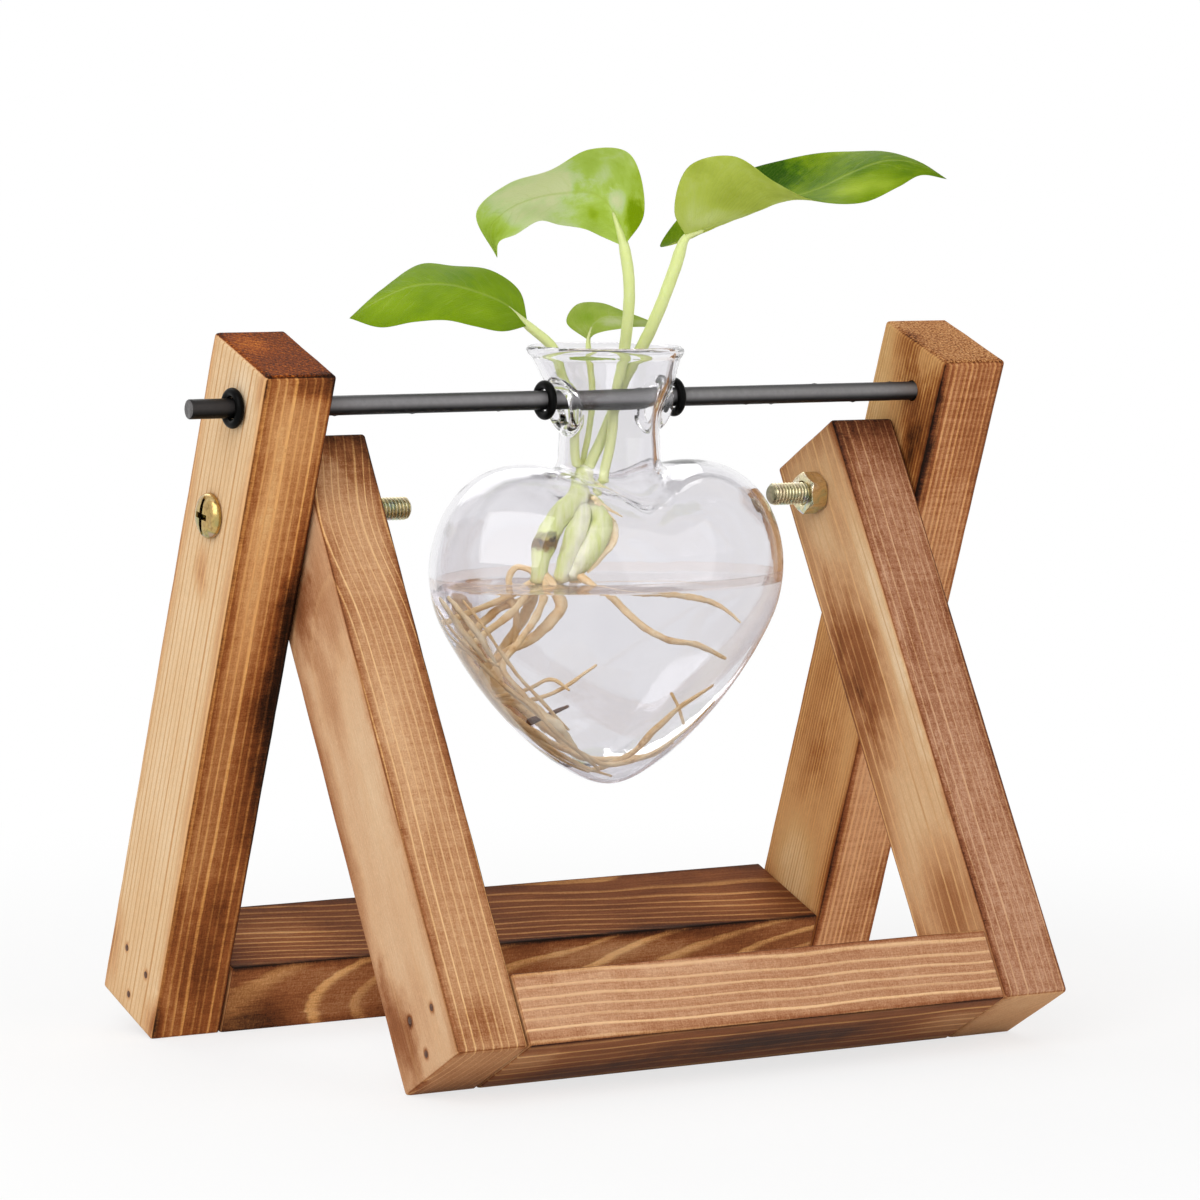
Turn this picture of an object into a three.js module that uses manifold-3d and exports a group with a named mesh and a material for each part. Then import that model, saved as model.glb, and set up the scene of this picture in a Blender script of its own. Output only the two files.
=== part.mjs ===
// Hanging glass planter: a heart-shaped bulb vase on a rod, held by a folding A-shaped wooden stand.
// Millimetres, +Z up. X runs along the rod, -Y is the side of the short front frame.
import * as THREE from 'three';
import { mergeVertices } from 'three/addons/utils/BufferGeometryUtils.js';
import { ParametricGeometry } from 'three/addons/geometries/ParametricGeometry.js';
import Module from 'manifold-3d';

const wasm = await Module();
wasm.setup();

// Stand
const standWidth = 222.5;
const postWidth = 20;
const postDepth = 30;
const rearPostLength = 185;
const frontTopOut = 14.56;
const rearRailHeight = 19.6;
const rearRailDepth = 31.8;
const frontRailHeight = 19;
const frontRailDepth = 30;
const rearLean = THREE.MathUtils.degToRad(19.8);
const frontLean = THREE.MathUtils.degToRad(30);
const frameGap = 0.5;
const seatGap = 0.3;
const edgeEase = 0.8;
const groundFlat = 0.7;

// Pivot, measured on the tall post from its top end and from its front face
const pivotFromTop = 43.5;
const pivotIn = 15;
const boltRadius = 3;
const headRadius = 5.75;
const headHeight = 3;
const nutAcrossFlats = 10;
const nutHeight = 5;
const boltTipOut = 15.3;
const threadPitch = 1;

// Rod, measured on the tall post from its top end and from its front face
const rodFromTop = 13;
const rodIn = 11.6;
const rodRadius = 2.5;
const rodLeftOut = 13.5;
const rodRightOut = 5;
const ringTube = 1.15;
const vaseRingOffset = 19.5;

// Brads
const nailShank = 0.7;
const nailHead = 1.1;
const nailLength = 35;

// Vase, measured from the rod axis
const vaseOffset = -3.5;
const glassWall = 1.8;
const vaseDepth = 65;
const heartSize = 100;
const heartCentre = -0.48 * heartSize;
const crownHalfWidth = 46;
const crownHalfHeight = 40;
const crownRatio = 0.75;
const neckWaist = 13;
const neckRoot = 33;
const rimRadius = 19.9;
const rimUp = 13.7;
const seamOverLobes = 0.8;
const holeRadius = 4.6;
const holeDrop = 1.8;
const lipTube = 1.35;
const waterLevel = -48;

const materials = {
  pine: new THREE.MeshStandardMaterial({ color: 0xb98350, roughness: 0.62, metalness: 0 }),
  pineDark: new THREE.MeshStandardMaterial({ color: 0xa9724a, roughness: 0.62, metalness: 0 }),
  nail: new THREE.MeshStandardMaterial({ color: 0x4a3020, roughness: 0.5, metalness: 0.8 }),
  zinc: new THREE.MeshStandardMaterial({ color: 0xc9b878, roughness: 0.3, metalness: 1 }),
  rod: new THREE.MeshStandardMaterial({ color: 0x1b1b1c, roughness: 0.4, metalness: 0.3 }),
  rubber: new THREE.MeshStandardMaterial({ color: 0x0c0c0d, roughness: 0.45, metalness: 0 }),
  glass: new THREE.MeshStandardMaterial({
    color: 0xe6eaec, roughness: 0.03, metalness: 0, transparent: true, opacity: 0.3,
  }),
  water: new THREE.MeshStandardMaterial({
    color: 0xdfe8ea, roughness: 0.02, metalness: 0, transparent: true, opacity: 0.25,
  }),
  leaf: new THREE.MeshStandardMaterial({ color: 0x7cb52a, roughness: 0.45, metalness: 0 }),
  root: new THREE.MeshStandardMaterial({ color: 0xc9a878, roughness: 0.7, metalness: 0 }),
};

// Closed triangle mesh with shared vertices and faces pointing out
function closedMesh(geometry) {
  const bare = geometry.clone();
  bare.deleteAttribute('normal');
  bare.deleteAttribute('uv');
  const merged = mergeVertices(bare, 1e-4);
  const position = merged.attributes.position;
  const source = merged.index.array;
  const triangles = [];
  let volume = 0;
  const a = new THREE.Vector3();
  const b = new THREE.Vector3();
  const c = new THREE.Vector3();
  for (let i = 0; i < source.length; i += 3) {
    const [p, q, r] = [source[i], source[i + 1], source[i + 2]];
    if (p === q || q === r || r === p) continue;
    triangles.push(p, q, r);
    a.fromBufferAttribute(position, p);
    b.fromBufferAttribute(position, q);
    c.fromBufferAttribute(position, r);
    volume += a.dot(b.cross(c));
  }
  if (volume < 0) {
    for (let i = 0; i < triangles.length; i += 3) {
      [triangles[i + 1], triangles[i + 2]] = [triangles[i + 2], triangles[i + 1]];
    }
  }
  return { vertices: new Float32Array(position.array), triangles: new Uint32Array(triangles) };
}

function toSolid(geometry) {
  const { vertices, triangles } = closedMesh(geometry);
  return new wasm.Manifold(new wasm.Mesh({ numProp: 3, vertProperties: vertices, triVerts: triangles }));
}

function toGeometry(solid) {
  const mesh = solid.getMesh();
  const geometry = new THREE.BufferGeometry();
  geometry.setAttribute('position', new THREE.BufferAttribute(new Float32Array(mesh.vertProperties), 3));
  geometry.setIndex(new THREE.BufferAttribute(new Uint32Array(mesh.triVerts), 1));
  geometry.computeVertexNormals();
  return geometry;
}

function piece(parent, name, solid, material) {
  const mesh = new THREE.Mesh(toGeometry(solid), material);
  mesh.name = name;
  parent.add(mesh);
  return mesh;
}

// Bar along X with eased edges, from its low corner to its high corner
function bar(low, high, ease = edgeEase) {
  const [x0, y0, z0] = low;
  const [x1, y1, z1] = high;
  const outline = new THREE.Shape();
  outline.moveTo(y0 + ease, z0 + ease);
  outline.lineTo(y1 - ease, z0 + ease);
  outline.lineTo(y1 - ease, z1 - ease);
  outline.lineTo(y0 + ease, z1 - ease);
  outline.closePath();
  const geometry = new THREE.ExtrudeGeometry(outline, {
    depth: x1 - x0 - 2 * ease, bevelEnabled: ease > 0, bevelThickness: ease, bevelSize: ease, bevelSegments: 1,
  });
  // The outline lies in Y and Z and the depth runs along X
  geometry.applyMatrix4(new THREE.Matrix4().makeBasis(
    new THREE.Vector3(0, 1, 0), new THREE.Vector3(0, 0, 1), new THREE.Vector3(1, 0, 0),
  ));
  geometry.translate(x0 + ease, 0, 0);
  return toSolid(geometry);
}

// Round pin along X
function pinAlongX(radius, x0, x1, y, z, sides = 20) {
  const geometry = new THREE.CylinderGeometry(radius, radius, x1 - x0, sides);
  geometry.rotateZ(Math.PI / 2);
  geometry.translate((x0 + x1) / 2, y, z);
  return toSolid(geometry);
}

// Turned piece whose axis is X, from a profile of [distance along X, radius]
function turnedAlongX(profile, sides) {
  const points = profile.map(([x, r]) => new THREE.Vector2(r, x));
  const geometry = new THREE.LatheGeometry(points, sides);
  geometry.rotateZ(-Math.PI / 2);
  return toSolid(geometry);
}

// Solid with a grid of points, closed around u and drawn to a point at both ends of v
function closedSurface(at, around, along) {
  const geometry = new ParametricGeometry((u, v, target) => {
    const turn = Math.round(u * around) % around;
    target.copy(at(turn / around, Math.round(v * along) / along));
  }, around, along);
  return toSolid(geometry);
}

// Tapering round shoot through a list of points
function shoot(points, radii, sides, steps, extra = 0) {
  const curve = new THREE.CatmullRomCurve3(points.map((p) => new THREE.Vector3(...p)), false, 'centripetal');
  const frames = curve.computeFrenetFrames(steps, false);
  return closedSurface((u, v) => {
    const row = Math.round(v * (steps + 2)) - 1;
    const step = Math.min(Math.max(row, 0), steps);
    const centre = curve.getPointAt(step / steps);
    if (extra > 0 && step === 0) centre.addScaledVector(frames.tangents[0], -extra);
    if (extra > 0 && step === steps) centre.addScaledVector(frames.tangents[steps], extra);
    if (row < 0 || row > steps) return centre;
    const place = (step / steps) * (radii.length - 1);
    const low = Math.min(Math.floor(place), radii.length - 2);
    const radius = THREE.MathUtils.lerp(radii[low], radii[low + 1], place - low) + extra;
    const angle = u * 2 * Math.PI;
    return centre
      .addScaledVector(frames.normals[step], Math.cos(angle) * radius)
      .addScaledVector(frames.binormals[step], Math.sin(angle) * radius);
  }, sides, steps + 2);
}

// Stand
const pivotUp = rearPostLength - pivotFromTop;
const pivotHeight = pivotUp * Math.cos(rearLean) + pivotIn * Math.sin(rearLean);
const frontPivotIn = postDepth / 2;
const frontPivotUp = (pivotHeight - (postDepth - frontPivotIn) * Math.sin(frontLean)) / Math.cos(frontLean);
const frontPostLength = frontPivotUp + frontTopOut;
const outer = standWidth / 2;
const rearInner = outer - postWidth;
const frontOuter = rearInner - frameGap;
const frontInner = frontOuter - postWidth;

const planter = new THREE.Group();
const rearFrame = new THREE.Group();
rearFrame.position.set(0, 0, pivotHeight);
rearFrame.rotation.x = rearLean;
const frontFrame = new THREE.Group();
frontFrame.position.set(0, 0, pivotHeight);
frontFrame.rotation.x = -frontLean;
planter.add(rearFrame, frontFrame);

// Everything below the sanded ground edge of a leaning frame, in that frame's own axes
function belowGround(lean) {
  const geometry = new THREE.BoxGeometry(2 * standWidth, 2 * standWidth, standWidth);
  geometry.translate(0, 0, groundFlat - pivotHeight - standWidth / 2);
  geometry.rotateX(-lean);
  return toSolid(geometry);
}

// Positions in a frame's own axes from a distance up the post and in from its front face
const rearAt = (up, inward) => [inward - pivotIn, up - pivotUp];
const frontAt = (up, inward) => [inward - frontPivotIn, up - frontPivotUp];

// One brad along X, its head at x, driven towards the middle of the stand
function brad(side, x, y, z, grow = 0) {
  const shank = nailShank + grow;
  const head = nailHead + grow;
  const top = grow > 0 ? 2 : 0.2;
  const solid = turnedAlongX([
    [-top, 0], [-top, head], [1 + grow, head], [1 + grow, shank], [nailLength - 2 + 2 * grow, shank],
    [nailLength + 2 * grow, 0],
  ], 8);
  return (side > 0 ? solid.mirror([1, 0, 0]) : solid).translate(x, y, z);
}

const rearNails = { upper: [16.5, 20.5], front: [15, 8.5], lower: [5.5, 15.5] };
const frontNails = { upper: [15.5, 18], front: [14.5, 6.5], lower: [5.5, 14.5] };
const names = { '-1': 'left', 1: 'right' };
const headTurn = 9;

function woodFrame(group, at, lean, posts, rail, nails, prefix, extraHoles) {
  const ground = belowGround(lean);
  const [railLow, railHigh] = [at(0, 0), at(rail.height, rail.depth)];
  const inner = posts.outer - postWidth;
  let railSolid = bar(
    [-inner + seatGap, railLow[0], railLow[1]], [inner - seatGap, railHigh[0], railHigh[1]],
  ).subtract(ground);
  for (const side of [-1, 1]) {
    const low = at(0, 0);
    const high = at(posts.length, postDepth);
    const x0 = side < 0 ? -posts.outer : inner;
    let post = bar([x0, low[0], low[1]], [x0 + postWidth, high[0], high[1]]).subtract(ground);
    for (const [y, z, radius] of extraHoles) {
      post = post.subtract(pinAlongX(radius, x0 - 1, x0 + postWidth + 1, y, z));
    }
    for (const [key, place] of Object.entries(nails)) {
      const [y, z] = at(...place);
      const hole = brad(side, side * posts.outer, y, z, seatGap);
      post = post.subtract(hole);
      railSolid = railSolid.subtract(hole);
      piece(group, `${prefix}_nail_${names[side]}_${key}`, brad(side, side * posts.outer, y, z), materials.nail);
    }
    piece(group, `${prefix}_post_${names[side]}`, post, materials.pine);
  }
  piece(group, `${prefix}_rail`, railSolid, materials.pineDark);
}

const [rodY, rodZ] = rearAt(rearPostLength - rodFromTop, rodIn);
woodFrame(
  rearFrame, rearAt, rearLean, { outer, length: rearPostLength },
  { height: rearRailHeight, depth: rearRailDepth }, rearNails, 'rear',
  [[0, 0, boltRadius + seatGap], [rodY, rodZ, rodRadius + seatGap]],
);
woodFrame(
  frontFrame, frontAt, -frontLean, { outer: frontOuter, length: frontPostLength },
  { height: frontRailHeight, depth: frontRailDepth }, frontNails, 'front',
  [[0, 0, boltRadius + seatGap]],
);

// Pivot bolt with a domed head, a plain shank and a threaded end, and its nut
for (const side of [-1, 1]) {
  const tip = frontInner - boltTipOut;
  const threadStart = frontInner - seatGap - nutHeight + 1;
  const face = outer + seatGap;
  const profile = [[tip, 0], [tip, boltRadius - 0.8], [tip + 0.6, boltRadius - 0.35]];
  for (let x = tip + 0.6; x < threadStart - threadPitch; x += threadPitch) {
    profile.push([x + threadPitch / 2, boltRadius]);
    profile.push([x + threadPitch, boltRadius - 0.5]);
  }
  profile.push([threadStart, boltRadius], [face, boltRadius], [face, headRadius]);
  profile.push([face + headHeight * 0.45, headRadius], [face + headHeight * 0.85, headRadius * 0.8]);
  profile.push([face + headHeight, headRadius * 0.45], [face + headHeight, 0]);
  let bolt = turnedAlongX(profile, 16);
  const slot = new THREE.BoxGeometry(3.2, 1.1, 2 * headRadius + 2);
  const cross = new THREE.BoxGeometry(3.2, 5.4, 1.3);
  for (const cut of [slot, cross]) {
    cut.translate(face + headHeight, 0, 0);
    bolt = bolt.subtract(toSolid(cut));
  }
  const nutShape = new THREE.CylinderGeometry(
    nutAcrossFlats / Math.sqrt(3), nutAcrossFlats / Math.sqrt(3), nutHeight, 6,
  );
  nutShape.rotateZ(Math.PI / 2);
  nutShape.rotateX(frontLean);
  nutShape.translate(frontInner - seatGap - nutHeight / 2, 0, 0);
  let nut = toSolid(nutShape);
  const cone = turnedAlongX([
    [frontInner - seatGap - nutHeight, 0], [frontInner - seatGap - nutHeight, nutAcrossFlats / 2 + 0.1],
    [frontInner - seatGap - nutHeight + 1.2, nutAcrossFlats / 2 + 1.6],
    [frontInner - seatGap - 1, nutAcrossFlats / 2 + 1.6], [frontInner - seatGap, nutAcrossFlats / 2 + 0.1],
    [frontInner - seatGap, 0],
  ], 24);
  nut = nut.intersect(cone).subtract(pinAlongX(boltRadius + seatGap, frontInner - 10, frontInner + 2, 0, 0));
  if (side < 0) {
    bolt = bolt.mirror([1, 0, 0]);
    nut = nut.mirror([1, 0, 0]);
  }
  const height = pivotHeight;
  piece(planter, `pivot_bolt_${names[side]}`, bolt.rotate([headTurn, 0, 0])
    .translate(0, 0, height), materials.zinc);
  piece(planter, `pivot_nut_${names[side]}`, nut.translate(0, 0, height), materials.zinc);
}

// Rod and its rubber rings, on the rod axis
const rodAxis = new THREE.Vector3(0, rodY, rodZ).applyAxisAngle(new THREE.Vector3(1, 0, 0), rearLean);
const rodGroup = new THREE.Group();
rodGroup.position.set(0, rodAxis.y, pivotHeight + rodAxis.z);
planter.add(rodGroup);
piece(rodGroup, 'hanging_rod', turnedAlongX([
  [-outer - rodLeftOut, 0], [-outer - rodLeftOut, rodRadius - 0.3], [-outer - rodLeftOut + 0.3, rodRadius],
  [outer + rodRightOut - 0.3, rodRadius], [outer + rodRightOut, rodRadius - 0.3], [outer + rodRightOut, 0],
], 24), materials.rod);
const ringPlaces = {
  stop_ring_left_end: -outer - seatGap - ringTube,
  stop_ring_vase_left: vaseOffset - vaseRingOffset,
  stop_ring_vase_right: vaseOffset + vaseRingOffset,
  stop_ring_right_end: outer + seatGap + ringTube,
};
for (const [name, x] of Object.entries(ringPlaces)) {
  const ring = new THREE.TorusGeometry(rodRadius + seatGap + ringTube, ringTube, 8, 20);
  ring.rotateY(Math.PI / 2);
  ring.translate(x, 0, 0);
  piece(rodGroup, name, toSolid(ring), materials.rubber);
}

// Vase, hung so that the tops of its two holes rest on the rod
const vase = new THREE.Group();
vase.position.set(vaseOffset, rodAxis.y, pivotHeight + rodAxis.z);
planter.add(vase);

// Right half of the heart's outline, from the dip between the lobes round to the tip, as shares of its size
const halfHeart = [
  [0, -0.25], [0.11, -0.198], [0.24, -0.164], [0.36, -0.188], [0.455, -0.27], [0.502, -0.4],
  [0.488, -0.53], [0.408, -0.67], [0.27, -0.835], [0.12, -0.953], [0, -0.998],
].map(([x, z]) => [x * heartSize, z * heartSize]);
const heartPoints = halfHeart.concat(halfHeart.slice(1, -1).reverse().map(([x, z]) => [-x, z]));
const heartCurve = new THREE.CatmullRomCurve3(
  heartPoints.map(([x, z]) => new THREE.Vector3(x, 0, z - heartCentre)), true, 'centripetal',
);

// Puffed heart: the outline drawn in towards the front and back poles as on an ellipsoid, and rounder there
function heartSolid(shrink, around, rows) {
  return closedSurface((u, v) => {
    const edge = heartCurve.getPointAt(u);
    const tilt = (v - 0.5) * Math.PI;
    const round = Math.sin(tilt) ** 2 * crownRatio;
    const sharp = edge.length();
    const oval = 1 / Math.hypot(edge.x / sharp / crownHalfWidth, edge.z / sharp / crownHalfHeight);
    edge.multiplyScalar((THREE.MathUtils.lerp(sharp, oval, round) - shrink) / sharp);
    const depth = vaseDepth / 2 - shrink;
    return new THREE.Vector3(
      edge.x * Math.cos(tilt), depth * Math.sin(tilt), heartCentre + edge.z * Math.cos(tilt),
    );
  }, around, rows);
}

// Neck: a waist above the heart, then a funnel up to a rolled rim. Each point is its radius beyond the
// waist, as a share of the rim's, and its height as a share of the rim's.
const funnel = [
  [0.09, -1.6], [0.03, -0.95], [0, -0.6], [0.06, -0.24], [0.26, 0.015], [0.53, 0.305], [0.75, 0.6],
  [0.92, 0.82],
].map(([out, up]) => [neckWaist + out * (rimRadius - neckWaist), up * rimUp]);
const neckOuter = [
  [0, -neckRoot], [funnel[0][0], -neckRoot], ...funnel,
  [rimRadius, rimUp - 0.7 * glassWall], [rimRadius - 0.1 * glassWall, rimUp - 0.2 * glassWall],
  [rimRadius - 0.55 * glassWall, rimUp], [0, rimUp],
];
const neckInner = [
  [0, -neckRoot - glassWall], [funnel[0][0] - glassWall, -neckRoot - glassWall],
  ...funnel.map(([radius, up]) => [radius - glassWall, up]),
  [rimRadius - 1.1 * glassWall, rimUp - 0.35 * glassWall],
  [rimRadius - 0.8 * glassWall, rimUp + 0.3 * glassWall], [0, rimUp + 0.3 * glassWall],
];
const turnedNeck = (profile) => {
  const geometry = new THREE.LatheGeometry(profile.map(([r, z]) => new THREE.Vector2(r, z)), 28);
  geometry.rotateX(Math.PI / 2);
  return toSolid(geometry);
};
let glass = heartSolid(0, 44, 16).add(turnedNeck(neckOuter));
for (const side of [-1, 1]) {
  const lip = new THREE.TorusGeometry(holeRadius + lipTube - 0.2, lipTube, 8, 22);
  lip.rotateY(Math.PI / 2);
  lip.rotateY(side * 0.2);
  lip.translate(side * (neckWaist + 0.6 * glassWall), 0, -holeDrop);
  glass = glass.add(toSolid(lip));
}
glass = glass.subtract(heartSolid(glassWall, 44, 16)).subtract(turnedNeck(neckInner));
glass = glass.subtract(pinAlongX(holeRadius, -2 * rimRadius, 2 * rimRadius, 0, -holeDrop, 22));

// The heart and the neck are fused at a seam just above the lobes, where the glass is a plain tube
const overLobes = Math.max(...halfHeart.map(([, z]) => z)) + seamOverLobes;
const neckGlass = glass.trimByPlane([0, 0, 1], overLobes + seatGap / 2);
const heartGlass = glass.trimByPlane([0, 0, -1], seatGap / 2 - overLobes);
piece(vase, 'glass_vase', heartGlass, materials.glass);
piece(vase, 'glass_neck', neckGlass, materials.glass);

// Leaf blade: three lines run from its base to its tip, along the midrib and along both edges
function blade(mid, oneEdge, otherEdge, steps, thickness) {
  const line = (points) => new THREE.CatmullRomCurve3(
    points.map((p) => new THREE.Vector3(...p)), false, 'centripetal',
  );
  const [middle, first, second] = [mid, oneEdge, otherEdge].map(line);
  const across = (v, t) => {
    const m = middle.getPoint(v);
    const a = first.getPoint(v);
    const b = second.getPoint(v);
    return m.multiplyScalar(1 - t * t)
      .addScaledVector(a, (t * t + t) / 2)
      .addScaledVector(b, (t * t - t) / 2);
  };
  const ways = 10;
  return closedSurface((u, v) => {
    const half = u < 0.5 ? 1 : -1;
    const t = Math.cos(u * 2 * Math.PI);
    const place = across(v, t);
    if (v === 0 || v === 1 || Math.abs(t) > 0.9999) return place;
    const alongStep = across(Math.min(v + 0.01, 1), t).sub(across(Math.max(v - 0.01, 0), t));
    const acrossStep = across(v, t + 0.05).sub(across(v, t - 0.05));
    const normal = alongStep.cross(acrossStep).normalize();
    const rib = thickness * Math.sqrt(1 - t * t) * Math.min(1, 6 * v * (1 - v) + 0.3);
    return place.addScaledVector(normal, half * rib);
  }, ways, steps);
}

// Each leaf: midrib, one edge, other edge, then the petiole down into the neck with its radii
const leaves = {
  leaf_left: {
    mid: [[-18, 11, 18.5], [-23.5, 12, 23.5], [-31, 14.5, 27], [-39, 17, 29], [-47.5, 20, 28.5],
      [-55.5, 22.5, 25], [-63, 24.5, 20.5]],
    one: [[-18, 11, 18.5], [-16.5, 18.5, 27.5], [-22.5, 23, 32.5], [-31, 27.5, 33.5], [-39.5, 29, 34],
      [-51.5, 27, 28], [-63, 24.5, 20.5]],
    other: [[-18, 11, 18.5], [-30, 4.5, 17.5], [-38.5, 3.5, 19], [-45.5, 5.5, 20.5], [-53, 9, 20],
      [-59, 15, 18.5], [-63, 24.5, 20.5]],
    petiole: [[-23.5, 12, 23.3], [-18, 11, 18.5], [-12.3, 8.5, 13], [-9.6, 8, 5.5], [-7.1, 6.8, -2],
      [-7, 6.2, -9.5], [-7.1, 5.1, -18.3]],
    radii: [0.4, 1.2, 1.35, 1.35, 1.3, 1.3, 1.2],
  },
  leaf_centre: {
    mid: [[3, -1.5, 39], [1.5, 1.5, 48], [-2.5, 5, 52.5], [-9.5, 9.5, 52.5], [-16.5, 12.5, 51],
      [-23, 14, 48], [-28, 14, 43], [-28, 10, 36]],
    one: [[3, -1.5, 39], [4, -9.5, 48], [-1, -10, 63], [-10, -5.5, 64], [-18.5, 0, 58.5],
      [-27.5, 5.5, 55], [-34, 10.5, 47.5], [-28, 10, 36]],
    other: [[3, -1.5, 39], [-2.5, 0.5, 41.5], [-7.5, 1, 43.5], [-13.5, 3.5, 44.5], [-18, 5.5, 45.5],
      [-24, 7.5, 42], [-27.5, 10, 40], [-28, 10, 36]],
    petiole: [[1.5, 1.5, 47.6], [3, -1.5, 39], [4, -2.5, 29], [4.5, -1, 19], [5.3, 2.5, 9.5],
      [4.5, 4.7, -0.5], [3, 4, -11], [-0.5, 3.7, -23.6]],
    radii: [0.4, 1.5, 1.5, 1.5, 1.4, 1.35, 1.35, 1.3],
  },
  leaf_small: {
    mid: [[-0.5, 10, 14.5], [0.5, 10, 18], [3.5, 8.5, 20.5], [6.5, 6.5, 20.5], [9.5, 4.5, 20],
      [12.5, 2, 19], [14.5, -0.5, 18.5]],
    one: [[-0.5, 10, 14.5], [-3.5, 16, 19], [0.5, 17.5, 23.5], [6, 15, 24], [10, 10, 22],
      [13.5, 4.5, 20], [14.5, -0.5, 18.5]],
    other: [[-0.5, 10, 14.5], [-0.5, 7.5, 16], [1, 4.8, 17], [3.9, 3, 17.6], [7.4, 1.2, 18.2],
      [10.8, 0, 18.3], [14.5, -0.5, 18.5]],
    petiole: [[0.5, 10, 17.8], [-0.5, 10, 14.5], [0.3, 10.3, 8], [0.8, 10.2, 0], [-0.6, 9.6, -9],
      [-3.2, 9.4, -19.4]],
    radii: [0.3, 0.9, 0.9, 0.85, 0.85, 0.85],
  },
  leaf_right: {
    mid: [[16.5, -10, 41.5], [20, -12, 43.5], [25.5, -15.5, 46], [32, -19.5, 48.5], [38.5, -23.5, 51.5],
      [45, -27.5, 54], [52.5, -32.5, 58.5], [60, -37, 61.5], [67, -41.5, 60.5], [72.5, -46, 57]],
    one: [[16.5, -10, 41.5], [10.5, -13.5, 48.5], [10.5, -20.5, 60], [19, -28, 62.5], [27.5, -34.5, 56],
      [36, -39.5, 51.5], [48, -43.5, 51], [58, -45, 55], [66, -44, 58], [72.5, -46, 57]],
    other: [[16.5, -10, 41.5], [14.5, -0.5, 39], [23, -1.5, 49.5], [35, -6.5, 58], [45.5, -11.5, 61.5],
      [53, -16.5, 63.5], [59, -22.5, 64], [64.5, -30, 64], [69, -38, 61.5], [72.5, -46, 57]],
    petiole: [[20, -12, 43.3], [16.5, -10, 41.5], [14, -8.5, 33.5], [11.5, -6, 24], [9.8, -1.5, 15],
      [8.5, 5.5, 5.5], [6, 7.4, -2.5], [2.6, 7.4, -10], [-2.6, 6.5, -18.6]],
    radii: [0.5, 1.6, 1.6, 1.6, 1.6, 1.55, 1.5, 1.5, 1.5],
  },
};
for (const [name, leaf] of Object.entries(leaves)) {
  const steps = leaf.mid.length * 2;
  const solid = blade(leaf.mid, leaf.one, leaf.other, steps, 0.35)
    .add(shoot(leaf.petiole, leaf.radii, 8, leaf.petiole.length * 3));
  piece(vase, name, solid, materials.leaf);
}

// Stem pieces and roots, each a list of points with the radii along it. They are drawn for a heart of
// this size and drawn in or out from the stem's top end to fill another one.
const drawnHeart = 100;
const stemTop = new THREE.Vector3(-4.6, 5.6, -19.4);
const inHeart = (point) => new THREE.Vector3(...point)
  .sub(stemTop).multiplyScalar(heartSize / drawnHeart).add(stemTop).toArray();
const stems = [
  [[[-4.6, 5.6, -19.4], [-6.3, 5.2, -25.5], [-10.3, 7.6, -31], [-14, 8.7, -38], [-15.4, 9.4, -47.5]],
    [2.1, 2.7, 2.9, 2.4, 2.7, 2.3, 2.2]],
  [[[-6.6, 5.6, -25.6], [-1.8, 4.3, -26.8], [-0.4, 2.8, -32.5], [-3.6, 3, -39], [-8, 5, -46]],
    [1.5, 2.4, 2.9, 2.5, 1.6]],
];
const roots = [
  [[-15.4, 9.4, -45], [-15.3, 11.5, -49.8], [-21.5, 14.5, -52.5], [-26.5, 15, -57.5], [-23.8, 13.5, -66],
    [-18.8, 11, -75.5], [-10.8, 6.7, -85], [-3.7, 2.3, -91.5], [1, -0.6, -94.3]],
  [[-14.2, 8.8, -45.5], [-12.1, 4.5, -51.7], [-18, 4.4, -57.5], [-24, 5.7, -60.9], [-26.5, 8.8, -65],
    [-24, 9, -73], [-17.7, 6.3, -79.6], [-11.2, 3.4, -85.2], [-5.3, 1, -88.9]],
  [[-15, 10, -46], [-14.3, 14, -52.5], [-16.8, 17.5, -60], [-16.5, 17, -67], [-10.8, 13.2, -74.9],
    [-6, 9.6, -82], [-1.5, 5.7, -88], [7.5, -1.1, -88.5], [12.8, -5.8, -85.6]],
  [[-8, 5, -44.5], [-3.5, -2.5, -49.8], [-2.2, -9.2, -53.4], [1.3, -13.7, -57.4], [6.7, -15.9, -60.1],
    [13.1, -16, -61.1], [22.5, -15.5, -65.1]],
  [[-8, 5.4, -44.8], [-6, 7.8, -47.4], [2.8, 7.7, -49.6], [12, 6.7, -50.6], [20.2, 4, -51.4],
    [24.8, -1.2, -52.8], [28.4, -8, -56.4]],
  [[-2.6, 1.6, -92.4], [2.9, -5, -88.5], [6.4, -8.4, -82.4], [11.1, -11.3, -76.8], [20, -14, -71.8]],
  [[-24, 9, -72.6], [-20.5, 3.3, -70.7], [-17, -1.2, -68.3], [-14, -4.3, -71.1]],
  [[-23.6, 9, -73.6], [-18.8, 5.7, -73.2], [-15.6, -0.9, -71.5], [-9.1, -7.3, -65.2]],
  [[-17.7, 6.3, -79.6], [-16.8, 1, -78.2], [-13.5, -2.2, -75.8]],
  [[-15.3, 9.6, -46.6], [-17.3, 11.3, -44.4], [-20, 13, -44], [-21.6, 13.9, -47.3], [-18.4, 12.6, -52.6],
    [-17.6, 12.6, -59]],
  [[13.6, -10.7, -81.4], [11.1, -11.3, -76.8], [8.8, -11.3, -72.9]],
];
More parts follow.
